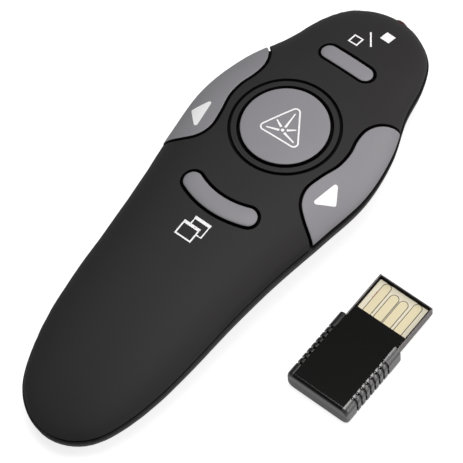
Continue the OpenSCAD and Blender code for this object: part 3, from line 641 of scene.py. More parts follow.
def wing_on_skin(g, rise):
    """The inner edge in (u, v), kept where it stands at least rise above the seam."""
    line = wing_line(g)
    th = np.arccos(np.clip(line[:, 1] / HALF_L, -1, 1))
    on_shell = line[:, 0] < half_width(th) - 1e-3
    uv = UPPER.from_plan(np.where(on_shell, line[:, 0], 0.999 * half_width(th)), line[:, 1])
    limit = np.interp(uv[:, 0], *level_curve(rise))
    keep = on_shell & (uv[:, 1] < limit - 0.02)
    first, last = np.flatnonzero(keep)[[0, -1]]
    inside = uv[first:last + 1]
    ends = []
    for k, step in ((first, -1), (last, 1)):
        a, b = uv[k], uv[k + step]
        if not on_shell[k + step]:
            b = a + (a - uv[k - step])
        gap_a = limit[k] - a[1]
        gap_b = float(np.interp(b[0], *level_curve(rise))) - b[1]
        f = gap_a / max(gap_a - gap_b, 1e-6) if gap_b < gap_a else 1.0
        end = a + (b - a) * min(f, 3.0)
        ends.append([end[0], float(np.interp(end[0], *level_curve(rise)))])
    return np.vstack([ends[0], inside, ends[1]])


def level_curve(rise, n=400):
    """u and v of the line that stands rise above the seam."""
    key = round(rise, 3)
    if key not in LEVELS:
        th = np.linspace(0.02, math.pi - 0.02, n)
        uv = UPPER.from_level(th, rise)
        LEVELS[key] = (uv[:, 0], uv[:, 1])
    return LEVELS[key]


def along_level(rise, u0, u1, n=60):
    """A stretch of that line from u0 to u1."""
    u = np.linspace(u0, u1, n)
    return np.stack([u, np.interp(u, *level_curve(rise))], axis=1)


edge = wing_on_skin(0.0, WING_LIFT)
print("side key: %.1f mm along the seam" % abs(edge[0, 0] - edge[-1, 0]))

# %% [markdown]
# ## The upper shell
# One pattern makes it: the seam all round, notched for the laser's window and
# for the two side keys, with three holes. A mould leaves no sharp edge, so rows
# of points roll every edge over by a tenth of a millimetre. The lowest stretch
# tucks in and stops short of the seam, which leaves the dark line that is seen
# between real shells. First comes the notch in the nose.

# %% The nose notch
WINDOW_R = 1.95
NOSE_Z = float(seam_z(HALF_L))


def notch(skin, n=14):
    """The half circle that the window leaves in a shell, right to left, in (u, v)."""
    out = []
    for phi in np.linspace(0, math.pi, n):
        x, z = WINDOW_R * math.cos(phi), NOSE_Z + skin.sign * WINDOW_R * math.sin(phi)
        th = np.linspace(0.003, 0.6, 900)
        w = half_width(th)
        share = np.clip(abs(x) / np.maximum(w, 1e-6), 0, 1)
        a = np.arccos(share ** (skin.power / 2))
        rise = skin.sign * (skin.point(th, a)[:, 2] - z)
        k = int(np.argmax((rise > 0) & (w > abs(x))))
        uv = skin.from_plan([x], [HALF_L * math.cos(th[k])])[0]
        out.append([uv[0], math.copysign(abs(uv[1]), x)])
    return np.array(out)


print("window notch starts %.2f mm behind the nose" % notch(UPPER)[0, 0])

# %% [markdown]
# ## Painted shade in the gaps
# Walls and the inner side get a near black, darker than the shell's paint. On the
# hidden inner side this is bare plastic. On the walls of the gaps round the keys
# it is painted shade, which makes the gaps look deep. A face that points outwards
# keeps its finish and any other turns black, so no mask has to be drawn.

# %% Bare plastic and painted shade


def bare_walls_and_painted_shade(piece, bare=None):
    """Near black on walls, the inner side and where bare(points) says so: bare plastic inside,
    painted shade in gaps and groove.
    """
    mesh = piece.data
    mesh.materials.append(RUBBER_AND_SHADE_BLACK)
    middle = np.array([face.center for face in mesh.polygons]) / MM
    facing = np.array([face.normal for face in mesh.polygons])
    _, out = UPPER.lay(UPPER.from_plan(middle[:, 0], middle[:, 1]))
    dark = (facing * out).sum(1) < 0.5
    if bare is not None:
        dark |= bare(middle)
    mesh.polygons.foreach_set("material_index", dark.astype(int))


print("bare plastic:", RUBBER_AND_SHADE_BLACK.name)

# %% [markdown]
# ## A groove round the laser's key
# A fine groove rings the round key. It could be a boolean cut, but rings of
# points in the pattern can simply be pushed down, and its walls stay clean. Its
# faces are painted near black as well, as shade in the groove.

# %% The upper shell's pattern
GROOVE_R, GROOVE_HALF, GROOVE_DEEP = 10.3, 0.31, 0.8
SHELL_ROUND, RIM_ROUND, SEAM_GAP = 0.12, 0.12, 0.4
RIM_TUCK, TUCK_REACH = 0.32, 2.2
SHELL_ROWS = (0.02, 0.06, 0.1, 0.16, 0.3)


def upper_outline():
    """From the window round the right side to the tail, and back on the left."""
    hole = notch(UPPER)
    key = wing_on_skin(KEY_GAP, SEAM_GAP)[::-1]
    tail = UPPER.along[-1]
    side = np.vstack([along_level(SEAM_GAP, hole[0, 0] + 0.1, key[0, 0])[:-1], key,
                      along_level(SEAM_GAP, key[-1, 0], tail - 0.05)[1:]])
    other = side[::-1] * (1, -1)
    return np.vstack([side, other, hole[::-1]])


# The groove's faces are painted near black, as shade.
def shaded_groove(p):
    """Which points lie in the ring groove."""
    return np.abs(np.hypot(p[:, 0], p[:, 1] - ROUND_Y) - GROOVE_R) < GROOVE_HALF


def upper_height(p, far):
    """The face's height: rolled edges, the groove, and the tuck above the seam."""
    r = np.hypot(p[:, 0], p[:, 1] - ROUND_Y)
    groove = -GROOVE_DEEP * np.clip(1 - ((r - GROOVE_R) / GROOVE_HALF) ** 8, 0, 1)
    rise = p[:, 2] - seam_z(p[:, 1])
    tuck = -RIM_TUCK * np.clip(1 - (rise - SEAM_GAP) / TUCK_REACH, 0, 1) ** 2
    return rolled(far, SHELL_ROUND) + groove + tuck


holes = [UPPER.from_plan(*plan.T) for plan in (
    round_outline(ROUND_GAP), screen_outline(KEY_GAP) + (0, 0.1), window_outline(KEY_GAP))]
GROOVE_RINGS = (-1.3, -1.02, -0.96, -0.85, -0.6, 0, 0.6, 0.85, 0.96, 1.02, 1.3)
rings = np.vstack([UPPER.from_plan(*circle((0, ROUND_Y), GROOVE_R + GROOVE_HALF * k, 199).T)
                   for k in GROOVE_RINGS])
upper_shell = new_piece("upper_shell_skin", *skin_solid(
    UPPER, [upper_outline()] + holes, upper_height, WALL, rows=SHELL_ROWS, extra=rings),
    SOFT_BLACK)
# Painted shade: walls of the openings and the groove turn near black.
bare_walls_and_painted_shade(upper_shell, shaded_groove)
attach(upper_shell, "handset")
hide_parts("upper_shell")
print("upper shell:", len(upper_shell.data.polygons), "faces")

# %% [markdown]
# ## The laser's window
# The beam leaves through a dark red window in the nose. It is a plug with a
# domed face, so that it carries on the nose's curve across the notch.

# %% The domed window
DOME_R, DOME_BACK, DOME_RIM, DOME_TIP = 1.9, 50.6, 51.6, 52.9
turned = [(DOME_R, DOME_BACK), (DOME_R, DOME_RIM)]
turned += [(DOME_R * math.sqrt(math.cos(a)), DOME_RIM + (DOME_TIP - DOME_RIM) * math.sin(a))
           for a in np.linspace(0, math.pi / 2, 9)[1:-1]]
DOME_N = 40
dome_verts = [(r * math.cos(a), y, NOSE_Z + r * math.sin(a)) for r, y in turned
              for a in np.linspace(0, 2 * math.pi, DOME_N, endpoint=False)]
dome_verts.append((0, DOME_TIP, NOSE_Z))
dome_faces = [tuple(range(DOME_N))]
dome_faces += [(k * DOME_N + i, k * DOME_N + (i + 1) % DOME_N, (k + 1) * DOME_N + (i + 1) % DOME_N,
                (k + 1) * DOME_N + i) for k in range(len(turned) - 1) for i in range(DOME_N)]
last = (len(turned) - 1) * DOME_N
dome_faces += [(last + i, last + (i + 1) % DOME_N, len(dome_verts) - 1) for i in range(DOME_N)]
dome = new_piece("laser_window_dome", dome_verts, dome_faces, DARK_RED)
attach(dome, "handset")
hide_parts("laser_window")
print("window:", len(dome_faces), "faces")

# %% [markdown]
# ## The five keys
# Each cap follows the shell a little proud of it and is crowned, so it feels
# soft under a finger. Its edge rolls over by a fifth of a millimetre. Under the
# cap a stem stands on the switch's plunger.

# %% A cap and its stem
KEY_PROUD, KEY_DEEP, KEY_ROUND = 0.1, 1.3, 0.2
KEY_ROWS = (0.02, 0.06, 0.12, 0.2, 0.4, 0.8)
STEM_R, STEM_FOOT, STEM_OVERLAP = 1.1, 15.2, 0.1


def crowned(crown, reach, radius=KEY_ROUND):
    """A cap's height: proud, rolled at its edge and crowned over its reach."""
    def height(p, far):
        share = np.clip(far / reach, 0, 1)
        return KEY_PROUD + rolled(far, radius) + crown * (1 - (1 - share) ** 2)
    return height


def add_stem(verts, faces, x, y, top, n=24):
    """A closed round stem added to a solid's points and faces."""
    start = len(verts)
    stem = [[q[0], q[1], z] for z in (top, STEM_FOOT) for q in circle((x, y), STEM_R, n)]
    faces = list(faces) + [tuple(start + k for k in range(n))]
    faces += [tuple(start + n + k for k in range(n))[::-1]]
    faces += [(start + n + k, start + n + (k + 1) % n, start + (k + 1) % n, start + k)
              for k in range(n)]
    return np.vstack([verts, stem]), faces


def key_cap(node, loop, height, stem):
    """A cap on its node's body, cut from the shell's surface, with its stem."""
    verts, faces = skin_solid(UPPER, [loop], height, KEY_DEEP, rows=KEY_ROWS, grid=0.8,
                              step=0.35)
    crown = UPPER.lay(UPPER.from_plan([stem[0]], [stem[1]]))[0][0]
    verts, faces = add_stem(verts, faces, *stem, top=crown[2] - KEY_DEEP + STEM_OVERLAP)
    cap = new_piece(node + "_cap", verts, faces, KEY_GREY)
    # Painted shade: the cap's walls turn near black in the gap round it.
    bare_walls_and_painted_shade(cap)
    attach(cap, node)
    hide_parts(node)


print("a cap is %.1f mm thick and stands %.1f mm proud" % (KEY_DEEP, KEY_PROUD))

# %% [markdown]
# ## One cap for each switch
# A cap moves with its own joint, so each rides on its own body. The two small
# keys are crowned most, as a thumb finds them by their crown. The side keys are
# one pattern and its mirror image.

# %% The five caps
ROUND_HEIGHT = crowned(0.15, 6.0)
PILL_HEIGHT = crowned(0.22, 1.7, 0.3)
WING_HEIGHT = crowned(0.05, 3.0, 0.15)
WING_STEM = (12.4, ROUND_Y - 7.5)
key_cap("laser_key", UPPER.from_plan(*round_outline().T), ROUND_HEIGHT, (0, ROUND_Y))
key_cap("screen_key", UPPER.from_plan(*screen_outline().T), PILL_HEIGHT, (0, SCREEN_Y))
key_cap("window_key", UPPER.from_plan(*window_outline().T), PILL_HEIGHT, (0, ARC_Y))
WING_LOOP = np.vstack([edge, along_level(WING_LIFT, edge[-1, 0], edge[0, 0])[1:-1]])
key_cap("next_key", WING_LOOP, WING_HEIGHT, WING_STEM)
key_cap("previous_key", WING_LOOP * (1, -1), WING_HEIGHT, (-WING_STEM[0], WING_STEM[1]))
print("side key pattern:", len(WING_LOOP), "points")

# %% [markdown]
# ## The rubber mat under the keys
# A gap round a key would show the green board. In a real clicker a black
# rubber mat lies between the caps and the board, with a hole for each stem. It
# is cut from the upper skin's own pattern, two millimetres further in.

# %% The key mat
MAT_DEEP, MAT_T, MAT_RISE, MAT_HOLE_R = 2.05, 0.25, 2.4, 1.6
MAT_NOSE, MAT_TAIL = 40.0, -8.0
mat_ends = UPPER.from_plan([0, 0], [MAT_NOSE, MAT_TAIL])[:, 0]
mat_side = along_level(MAT_RISE, *mat_ends)
stems = [(0, ROUND_Y), (0, SCREEN_Y), (0, ARC_Y), WING_STEM, (-WING_STEM[0], WING_STEM[1])]
mat_holes = [UPPER.from_plan(*circle(at, MAT_HOLE_R, 24).T) for at in stems]
mat = new_piece("key_mat", *skin_solid(
    UPPER, [np.vstack([mat_side, mat_side[::-1] * (1, -1)])] + mat_holes,
    lambda p, far: np.full(len(p), -MAT_DEEP), MAT_DEEP + MAT_T, rows=(), grid=2.0, step=1.0),
    RUBBER_AND_SHADE_BLACK)
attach(mat, "handset")
print("key mat:", len(mat.data.polygons), "faces")

# %% [markdown]
# ## Printed legends
# A pad-printed legend is a film of paint about two hundredths of a millimetre
# thick. As thin solids that follow the cap they lie on, the legends stay crisp
# at any size and need no image. Three helpers draw them: a line of even width,
# a polygon moved outwards, and one with round corners.

# %% Legend shapes
LINE_W = 0.3


def stroke(points, w=LINE_W, closed=False):
    """One loop, or two for a closed line, round a line of width w."""
    p = np.array(points, float)
    if closed:
        return [outset(p, w / 2), outset(p, -w / 2)]
    t = np.gradient(p, axis=0)
    t /= np.linalg.norm(t, axis=1, keepdims=True)
    n = np.stack([-t[:, 1], t[:, 0]], axis=1) * w / 2
    return [np.vstack([p + n, (p - n)[::-1]])]


def outset(p, g):
    """A closed polygon moved outwards by g, its corners kept sharp."""
    if signed_area(p) < 0:
        p = p[::-1]
    before, after = np.roll(p, 1, axis=0), np.roll(p, -1, axis=0)
    d0, d1 = p - before, after - p
    d0 /= np.linalg.norm(d0, axis=1, keepdims=True)
    d1 /= np.linalg.norm(d1, axis=1, keepdims=True)
    n0 = np.stack([d0[:, 1], -d0[:, 0]], axis=1)
    n1 = np.stack([d1[:, 1], -d1[:, 0]], axis=1)
    share = 1 + (n0 * n1).sum(1, keepdims=True)
    return p + g * (n0 + n1) / np.maximum(share, 0.2)


def soft_corners(points, r, n=6):
    """A closed polygon with its corners rounded."""
    p = np.array(points, float)
    out = []
    for a, b, c in zip(np.roll(p, 1, axis=0), p, np.roll(p, -1, axis=0)):
        ab, cb = (a - b) / np.linalg.norm(a - b), (c - b) / np.linalg.norm(c - b)
        half = 0.5 * math.acos(np.clip(np.dot(ab, cb), -1, 1))
        reach = r / math.tan(half)
        start, end = b + ab * reach, b + cb * reach
        centre = b + (ab + cb) / np.linalg.norm(ab + cb) * r / math.sin(half)
        a0 = math.atan2(*(start - centre)[::-1])
        turn = (math.atan2(*(end - centre)[::-1]) - a0 + math.pi) % (2 * math.pi) - math.pi
        out.extend(arc_points(centre, r, a0, a0 + turn, n))
    return np.array(out)


print("legend lines are %.1f mm wide" % LINE_W)

# %% [markdown]
# ## Laying the paint
# Each mark becomes a film as thick as real print. On a cap it follows the
# crown, so it takes its height from the cap's own rule and edge.

# %% Printing
PRINT_T = 0.03


def print_on(name, plans, body, height=None, cap_loop=None):
    """Thin solids of paint; on a cap they follow its height from its edge."""
    films = []
    for loops in plans:
        uv_loops = [UPPER.from_plan(*np.asarray(loop).T) for loop in loops]
        uv, tris, _ = cut_pattern(uv_loops, [], 0.6, 0.3)
        p, n = UPPER.lay(uv)
        lift = np.full((len(p), 1), PRINT_T)
        if cap_loop is not None:
            far, _ = distance_to(UPPER.from_plan(p[:, 0], p[:, 1]), [cap_loop])
            lift += height(p, far)[:, None]
        films.append(slab(tris, p + n * lift, p + n * (lift - 2 * PRINT_T)))
    piece = new_piece(name, *together(*films), LEGEND_WHITE)
    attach(piece, body)
    return piece


print("paint is %.2f mm thick" % PRINT_T)

# %% [markdown]
# ## Marks on the keys
# A triangle on each side key points the way the slides go. The round key has a
# star of rays in a rounded triangle, a plain sign for a laser beam. Its rays
# are thin wedges, so they fade towards their tips as printed ones do.

# %% Legends on the keys
RIGHT_TRIANGLE = [(13.4, 7.7), (14.5, 14.5), (16.9, 10.6)]
LEFT_TRIANGLE = [(-13.3, 7.4), (-14.6, 14.6), (-16.9, 10.7)]
TRIANGLE_ROUND = 0.4
print_on("next_legend", [[soft_corners(RIGHT_TRIANGLE, TRIANGLE_ROUND)]], "next_key",
         WING_HEIGHT, WING_LOOP)
print_on("previous_legend", [[soft_corners(LEFT_TRIANGLE, TRIANGLE_ROUND)]], "previous_key",
         WING_HEIGHT, WING_LOOP * (1, -1))
STAR_TRIANGLE = [(-3.97, 14.1), (-0.24, 22.3), (5.2, 14.5)]
STAR_MIDDLE, STAR_DOT_R, STAR_ROUND = (0.4, 16.2), 0.32, 0.8
RAYS = [((0.42, 16.9), (0.07, 20.4)), ((1.05, 16.6), (2.4, 17.7)), ((0.98, 15.9), (3.65, 15.3)),
        ((-0.1, 15.85), (-2.5, 15.0)), ((-0.25, 16.6), (-1.85, 17.4))]
RAY_FOOT, RAY_TIP = 0.46, 0.24


def ray(foot, tip):
    """A line that tapers from its foot to its tip."""
    foot, tip = np.array(foot), np.array(tip)
    way = (tip - foot) / np.linalg.norm(tip - foot)
    over = np.array([-way[1], way[0]]) / 2
    return [np.array([foot + over * RAY_FOOT, foot - over * RAY_FOOT, tip - over * RAY_TIP,
                      tip + over * RAY_TIP])]


star = [stroke(soft_corners(STAR_TRIANGLE, STAR_ROUND), closed=True)]
star += [[circle(STAR_MIDDLE, STAR_DOT_R, 16)]]
star += [ray(*ends) for ends in RAYS]
print_on("laser_legend", star, "laser_key", ROUND_HEIGHT,
         UPPER.from_plan(*round_outline().T))
print("rays:", len(RAYS))

# %% [markdown]
# ## Marks on the shell
# The marks for a blank screen stand before the long key, and the two windows
# behind the curved one. The back window is an open line, because the front one
# hides its corner. A thicker bar along the top makes each read as a window.

# %% Legends on the shell


def square(x0, y0, x1, y1):
    """The corners of a rectangle on the plan."""
    return np.array([(x0, y0), (x1, y0), (x1, y1), (x0, y1)], float)


OPEN_SQUARE, FULL_SQUARE = (-3.1, 40.4, -1.3, 42.35), (0.7, 45.0, 2.7, 47.22)
SLASH, SLASH_W = [(-1.43, 44.93), (0.92, 41.89)], 0.32
FRONT_WINDOW = (-2.3, -11.6, 1.1, -8.9)
BACK_WINDOW = [(-1.05, -8.9), (-1.05, -7.15), (2.25, -7.15), (2.25, -9.9), (1.1, -9.9)]
FRONT_BAR, BACK_BAR = (-2.45, -9.2, 1.25, -8.6), (-1.2, -7.5, 2.4, -6.9)
SHELL_MARKS = [stroke(square(*OPEN_SQUARE), closed=True), stroke(SLASH, SLASH_W),
               [square(*FULL_SQUARE)], stroke(square(*FRONT_WINDOW), closed=True),
               stroke(BACK_WINDOW), [square(*FRONT_BAR)], [square(*BACK_BAR)]]
print_on("shell_legends", SHELL_MARKS, "handset")
print("marks on the shell:", len(SHELL_MARKS))

# %% [markdown]
# ## The lower shell
# The belly is cut the same way from its own surface: the seam all round, a
# hole for the battery door, one for the receiver's bay and four for screws.
# The tail end of the door follows a line of even height on the belly, so that
# line is looked up first.

# %% Openings of the belly
DOOR_HALF, DOOR_FRONT, DOOR_GAP, DOOR_TOP = 6.6, 8.98, 0.2, 1.5
BAY = (-7.2, 7.2, 10.58, 37.88)
SCREWS = [(10.4, -8.0), (6.0, HALF_L - 10)]
SCREW_HOLE_R = 2.0


def belly_at(x, z):
    """Where the line x on the tail's curve reaches the height z, as y."""
    th = np.linspace(2.2, math.pi - 0.003, 1500)
    share = np.clip(abs(x) / half_width(th), 0, 1)
    a = np.arccos(share ** (LOWER.power / 2))
    high = LOWER.point(th, a)[:, 2]
    return HALF_L * math.cos(th[int(np.argmax(high > z))])


def door_outline(g, level):
    """The door on the plan: straight sides, and a tail end at one height."""
    half, front = DOOR_HALF + g, DOOR_FRONT + g
    end = [(x, belly_at(x, level)) for x in np.linspace(-half, half, 25)]
    side = np.linspace(end[-1][1], front, 50)[1:-1]
    return np.array(end + [(half, y) for y in side] + [(half, front), (-half, front)]
                    + [(-half, y) for y in side[::-1]])


def on_belly(points, step=0.8):
    """A loop of the plan in (u, v) of the belly, with points close enough to bend."""
    return LOWER.from_plan(*spaced(np.asarray(points, float), step).T)


print("door reaches y = %.2f mm at the tail" % belly_at(0, DOOR_TOP))

# %% [markdown]
# ## What stands inside the belly
# Behind the bay's opening stands the pocket that the receiver is stored in.
# Two walls beside the cell make its channel. A lip runs inside the parting
# line: it lines up the two shells, and stops light where they meet.

# %% Pocket, channel and lip
BAY_FOOT, BAY_ROOF, BAY_WALL = 0.6, 5.5, 1.2
CHANNEL_X, CHANNEL_Y, CHANNEL_Z = (5.5, 6.6), (-40, 8), (2.9, 9.4)
LIP_IN, LIP_T, LIP_LOW, LIP_HIGH = 1.85, 0.6, -0.7, (0.6, 1.0)
LIP_STEPS = (-7, -3, 34, 38)


def block(x0, x1, y0, y1, z0, z1):
    """Points and faces of a box."""
    v = [(x, y, z) for x in (x0, x1) for y in (y0, y1) for z in (z0, z1)]
    f = [(0, 1, 3, 2), (4, 6, 7, 5), (0, 4, 5, 1), (2, 3, 7, 6), (0, 2, 6, 4), (1, 5, 7, 3)]
    return v, f


def pocket(x0, x1, y0, y1, z0, z1, t):
    """An open box, mouth down, whose inside is x0 to z1."""
    outer, inner = block(x0 - t, x1 + t, y0 - t, y1 + t, z0, z1 + t), block(x0, x1, y0, y1, z0, z1)
    verts = outer[0] + inner[0]
    faces = [f for f in outer[1] if f != (0, 2, 6, 4)]
    faces += [tuple(i + 8 for i in f[::-1]) for f in inner[1] if f != (0, 2, 6, 4)]
    for a, b in ((0, 2), (2, 6), (6, 4), (4, 0)):
        faces.append((a, b, b + 8, a + 8))
    return verts, faces


def lip(side, n=60):
    """The lip inside the parting line, higher where the side keys leave it open."""
    th = np.linspace(0.5, math.pi - 0.5, n)
    verts = []
    for inset, tall in ((LIP_IN, False), (LIP_IN, True), (LIP_IN + LIP_T, True),
                        (LIP_IN + LIP_T, False)):
        y = (HALF_L - inset) * np.cos(th)
        x = side * half_width(th) * (1 - inset / HALF_W)
        high = np.interp(y, LIP_STEPS, LIP_HIGH + LIP_HIGH[::-1])
        verts.append(np.stack([x, y, seam_z(y) + (high if tall else LIP_LOW)], axis=1))
    verts = np.vstack(verts)
    faces = [(c * n + i, c * n + i + 1, (c + 1) % 4 * n + i + 1, (c + 1) % 4 * n + i)
             for c in range(4) for i in range(n - 1)]
    return verts, faces + [(0, n, 2 * n, 3 * n), (n - 1, 4 * n - 1, 3 * n - 1, 2 * n - 1)]


bay = pocket(*BAY, BAY_FOOT, BAY_ROOF, BAY_WALL)
channel = [block(s * CHANNEL_X[0], s * CHANNEL_X[1], *CHANNEL_Y, *CHANNEL_Z) for s in (-1, 1)]
print("pocket: %.1f x %.1f mm" % (BAY[1] - BAY[0], BAY[3] - BAY[2]))

# %% [markdown]
# ## The belly
# Its pattern has one loop for the seam and one for each opening. Pocket,
# channel and lips could be pieces of their own, but a mould makes them with the
# shell, so they join it in one mesh.

# %% The lower shell's skin
RIM_STEP = 1.2


def rim_run(skin, u0, u1):
    """A stretch of the seam, in (u, v)."""
    n = max(4, int(abs(u1 - u0) / RIM_STEP))
    u = np.linspace(u0, u1, n)
    return np.stack([u, skin.rim(u)], axis=1)


def lower_outline():
    """The seam all round, with the window's notch."""
    hole, tail = notch(LOWER), LOWER.along[-1]
    side = rim_run(LOWER, hole[0, 0] + 0.05, tail - 0.02)
    return np.vstack([side, side[::-1] * (1, -1), hole[::-1]])


screw_holes = [LOWER.from_plan(*circle((s * x, y), SCREW_HOLE_R, 32).T)
               for x, y in SCREWS for s in (-1, 1)]
bay_hole = on_belly([(BAY[0], BAY[2]), (BAY[1], BAY[2]), (BAY[1], BAY[3]), (BAY[0], BAY[3])])
belly = skin_solid(LOWER, [lower_outline(), on_belly(door_outline(DOOR_GAP, DOOR_TOP + 0.15)),
                           bay_hole] + screw_holes,
                   lambda p, far: rolled(far, RIM_ROUND), WALL, grid=1.5)
lower_shell = new_piece("lower_shell_skin", *together(belly, bay, *channel, lip(1), lip(-1)),
                        CASE_BLACK)
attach(lower_shell, "handset")
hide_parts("lower_shell")
print("lower shell:", len(lower_shell.data.polygons), "faces")

# %% [markdown]
# ## The battery door
# A long flat strip slides towards the tail over the cell. Five short grooves
# give the thumb its grip. The strip follows the belly outside and is flat
# inside, so its inner points are simply set to one height.

# %% The door
GRIP_Y, GRIP_PITCH, GRIP_W, GRIP_DEEP = DOOR_FRONT - 5.7, 1.6, 0.35, 0.4
GRIPS, GRIP_LONGEST, DOOR_ROUND = 5, 7, 0.2
grip_lines = [(GRIP_Y - GRIP_PITCH * i, (GRIP_LONGEST - i) / 2) for i in range(GRIPS)]


def door_height(p, far):
    """Round-bottomed grooves, each a little shorter than the last."""
    dent = np.zeros(len(p))
    for y, half in grip_lines:
        reach = np.hypot(np.maximum(0, np.abs(p[:, 0]) - half), p[:, 1] - y)
        dent -= GRIP_DEEP * np.sqrt(np.clip(1 - (reach / GRIP_W) ** 2, 0, 1))
    return rolled(far, DOOR_ROUND) + dent


GRIP_ROWS = (-0.36, -0.28, -0.15, 0, 0.15, 0.28, 0.36)
grip_points = np.array([(x, y + d) for y, half in grip_lines
                        for x in np.linspace(-half - GRIP_W, half + GRIP_W, 26)
                        for d in GRIP_ROWS])
strip, strip_faces = skin_solid(LOWER, [on_belly(door_outline(0, DOOR_TOP - 0.15))], door_height,
                                0.1, rows=(0.03, 0.09, 0.2), grid=1.3,
                                extra=LOWER.from_plan(*grip_points.T))
strip[len(strip) // 2:, 2] = DOOR_TOP
door = new_piece("battery_door_skin", strip, strip_faces, CASE_BLACK)
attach(door, "battery_door")
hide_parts("battery_door")
print("door:", len(door.data.polygons), "faces")

# %% [markdown]
# ## The receiver's housing
# Two small trays of glossy plastic clip together round the plug. Their long
# edges are rounded, and eight slots down each side give a grip for pulling it
# out. A tray could be a box with a bevel, but its tail rounds in less than its
# sides do, so it is drawn as a row of rounded sections instead.

# %% Sizes and sections
REC_X, REC_BACK, REC_W, REC_L, REC_H = 33.5, 1.2, 13.8, 15.8, 5.2
REC_WALL, REC_EDGE, REC_SPLIT = 0.9, 1.3, 2.6
SLOTS, SLOT_PITCH, SLOT_W, SLOT_DEEP, SLOT_Y = 8, 1.3, 0.5, 0.38, -3.4
TAIL_ROUND, TAIL_SIDE = 0.7, 0.3
PLUG_W, PLUG_L, PLUG_H, PLUG_Z, SHEET = 12.0, 10.9, 2.25, 1.45, 0.3
STEP_Y, STEP_DROP, STEP_HALF, APRON_Y = -3.1, 0.35, 5.6, 2.9
BOARD_T = 1.0


def beside(solid):
    """The solid moved to the receiver's place beside the handset."""
    return [(p[0] + REC_X, p[1] - REC_BACK, p[2]) for p in solid[0]], solid[1]


def bar(section, y0, y1):
    """A solid drawn along Y from y0 to y1, from points (x, z)."""
    n = len(section)
    verts = [(x, y, z) for y in (y0, y1) for x, z in section]
    faces = [tuple(range(n)), tuple(range(n, 2 * n))[::-1]]
    faces += [(k, k + n, (k + 1) % n + n, (k + 1) % n) for k in range(n)]
    return verts, faces


def round_box(x0, x1, z0, z1, r, n=7, bottom=True, top=True):
    """A section with the chosen corners rounded."""
    out = []
    for side, level, turn, soft in ((1, -1, -90, bottom), (1, 1, 0, top),
                                    (-1, 1, 90, top), (-1, -1, 180, bottom)):
        x, z = (x1 if side > 0 else x0), (z1 if level > 0 else z0)
        if soft:
            start = math.radians(turn)
            out += [tuple(q) for q in arc_points((x - side * r, z - level * r), r, start,
                                                 start + math.pi / 2, n)]
        else:
            out.append((x, z))
    return out


print("receiver: %.1f x %.1f x %.1f mm" % (REC_W, REC_L + PLUG_L, REC_H))

# %% [markdown]
# ## Cut first, then soften
# A bevel can't stay even where slots cut through it. So slots are cut after the
# main rounding, with booleans that are applied at once, and what edges are left
# get a fine bevel of their own. Weighted normals then keep the flats flat.

# %% Cutting and softening solids
CREASE_ANGLE = math.radians(42)


def cut(piece, solids, how="DIFFERENCE"):
    """A boolean of the piece with solids, applied at once."""
    tool = new_piece(piece.name + "_tool", *together(*solids), piece.data.materials[0])
    change = piece.modifiers.new("cut", "BOOLEAN")
    change.operation, change.object, change.solver = how, tool, "EXACT"
    change.use_self = True
    bake(piece)
    bpy.data.objects.remove(tool)


def bake(piece):
    """What modifiers a piece has become its own mesh."""
    depsgraph = bpy.context.evaluated_depsgraph_get()
    mesh = bpy.data.meshes.new_from_object(piece.evaluated_get(depsgraph))
    piece.modifiers.clear()
    piece.data = mesh


def soften(piece, width, segments=2):
    """Bevels every sharp edge, and keeps the flats flat with weighted normals."""
    bevel = piece.modifiers.new("soft edges", "BEVEL")
    bevel.width, bevel.segments = width * MM, segments
    bevel.limit_method, bevel.angle_limit = "ANGLE", SHARP_ANGLE
    bake(piece)
    piece.data.shade_smooth()
    piece.data.set_sharp_from_angle(angle=CREASE_ANGLE)
    flat = piece.modifiers.new("flat faces", "WEIGHTED_NORMAL")
    flat.keep_sharp = True
    bake(piece)


print("after a bevel, edges over %.0f degrees stay sharp" % math.degrees(CREASE_ANGLE))

# %% [markdown]
# ## Slots, and a tail that rounds in
# The slots are as deep on the rounded edges as on the flat sides, so each is
# cut by a bar whose inner side has the housing's own section, set inwards. At
# the tail the sections shrink along a quarter circle.

# %% Slots and the outside
REC_HALF = REC_W / 2


def slots():
    """Cutters that follow the rounded sides at an even depth, eight a side."""
    core, axis = REC_EDGE - SLOT_DEEP, REC_HALF - REC_EDGE
    upright = math.pi / 2
    section = [(REC_HALF + 1, -1), (REC_HALF + 1, REC_H + 1), (axis, REC_H + 1)]
    section += [tuple(q) for q in arc_points((axis, REC_H - REC_EDGE), core, upright, 0, 8)]
    section += [tuple(q) for q in arc_points((axis, REC_EDGE), core, 0, -upright, 8)]
    section.append((axis, -1))
    starts = [SLOT_Y - SLOT_PITCH * i for i in range(SLOTS)]
    return [bar([(side * x, z) for x, z in section], y - SLOT_W, y)
            for y in starts for side in (-1, 1)]


def rounded_tail(z0, z1, bottom, top):
    """The housing's outside: sections that shrink along a quarter circle at the tail."""
    rings = []
    for turn in (0, 18, 36, 54, 72, 90, None):
        t = math.radians(90 if turn is None else turn)
        drop, y = TAIL_ROUND * (1 - math.sin(t)), -REC_L + TAIL_ROUND * (1 - math.cos(t))
        side = REC_HALF - TAIL_SIDE * (1 - math.sin(t))
        section = round_box(-side, side, z0 + drop * bottom, z1 - drop * top, REC_EDGE,
                            bottom=bottom, top=top)
        rings.append([(x, 0.0 if turn is None else y, z) for x, z in section])
    n, last = len(rings[0]), len(rings) - 1
    faces = [tuple(range(n)), tuple(range(last * n, (last + 1) * n))[::-1]]
    faces += [(r * n + k, (r + 1) * n + k, (r + 1) * n + (k + 1) % n, r * n + (k + 1) % n)
              for r in range(last) for k in range(n)]
    return sum(rings, []), faces


print("slots:", 2 * SLOTS)

# %% [markdown]
# ## A tray and its ridges
# Cover and base are the same outside form, so one helper makes both. The ridges
# between the slots get the satin finish with its painted sheen face by face:
# those that lie near the rounded side, and lean at least a little towards it.

# %% A tray and its ridges
RIDGE_SHARE, RIDGE_LEAN = 0.7, 0.04


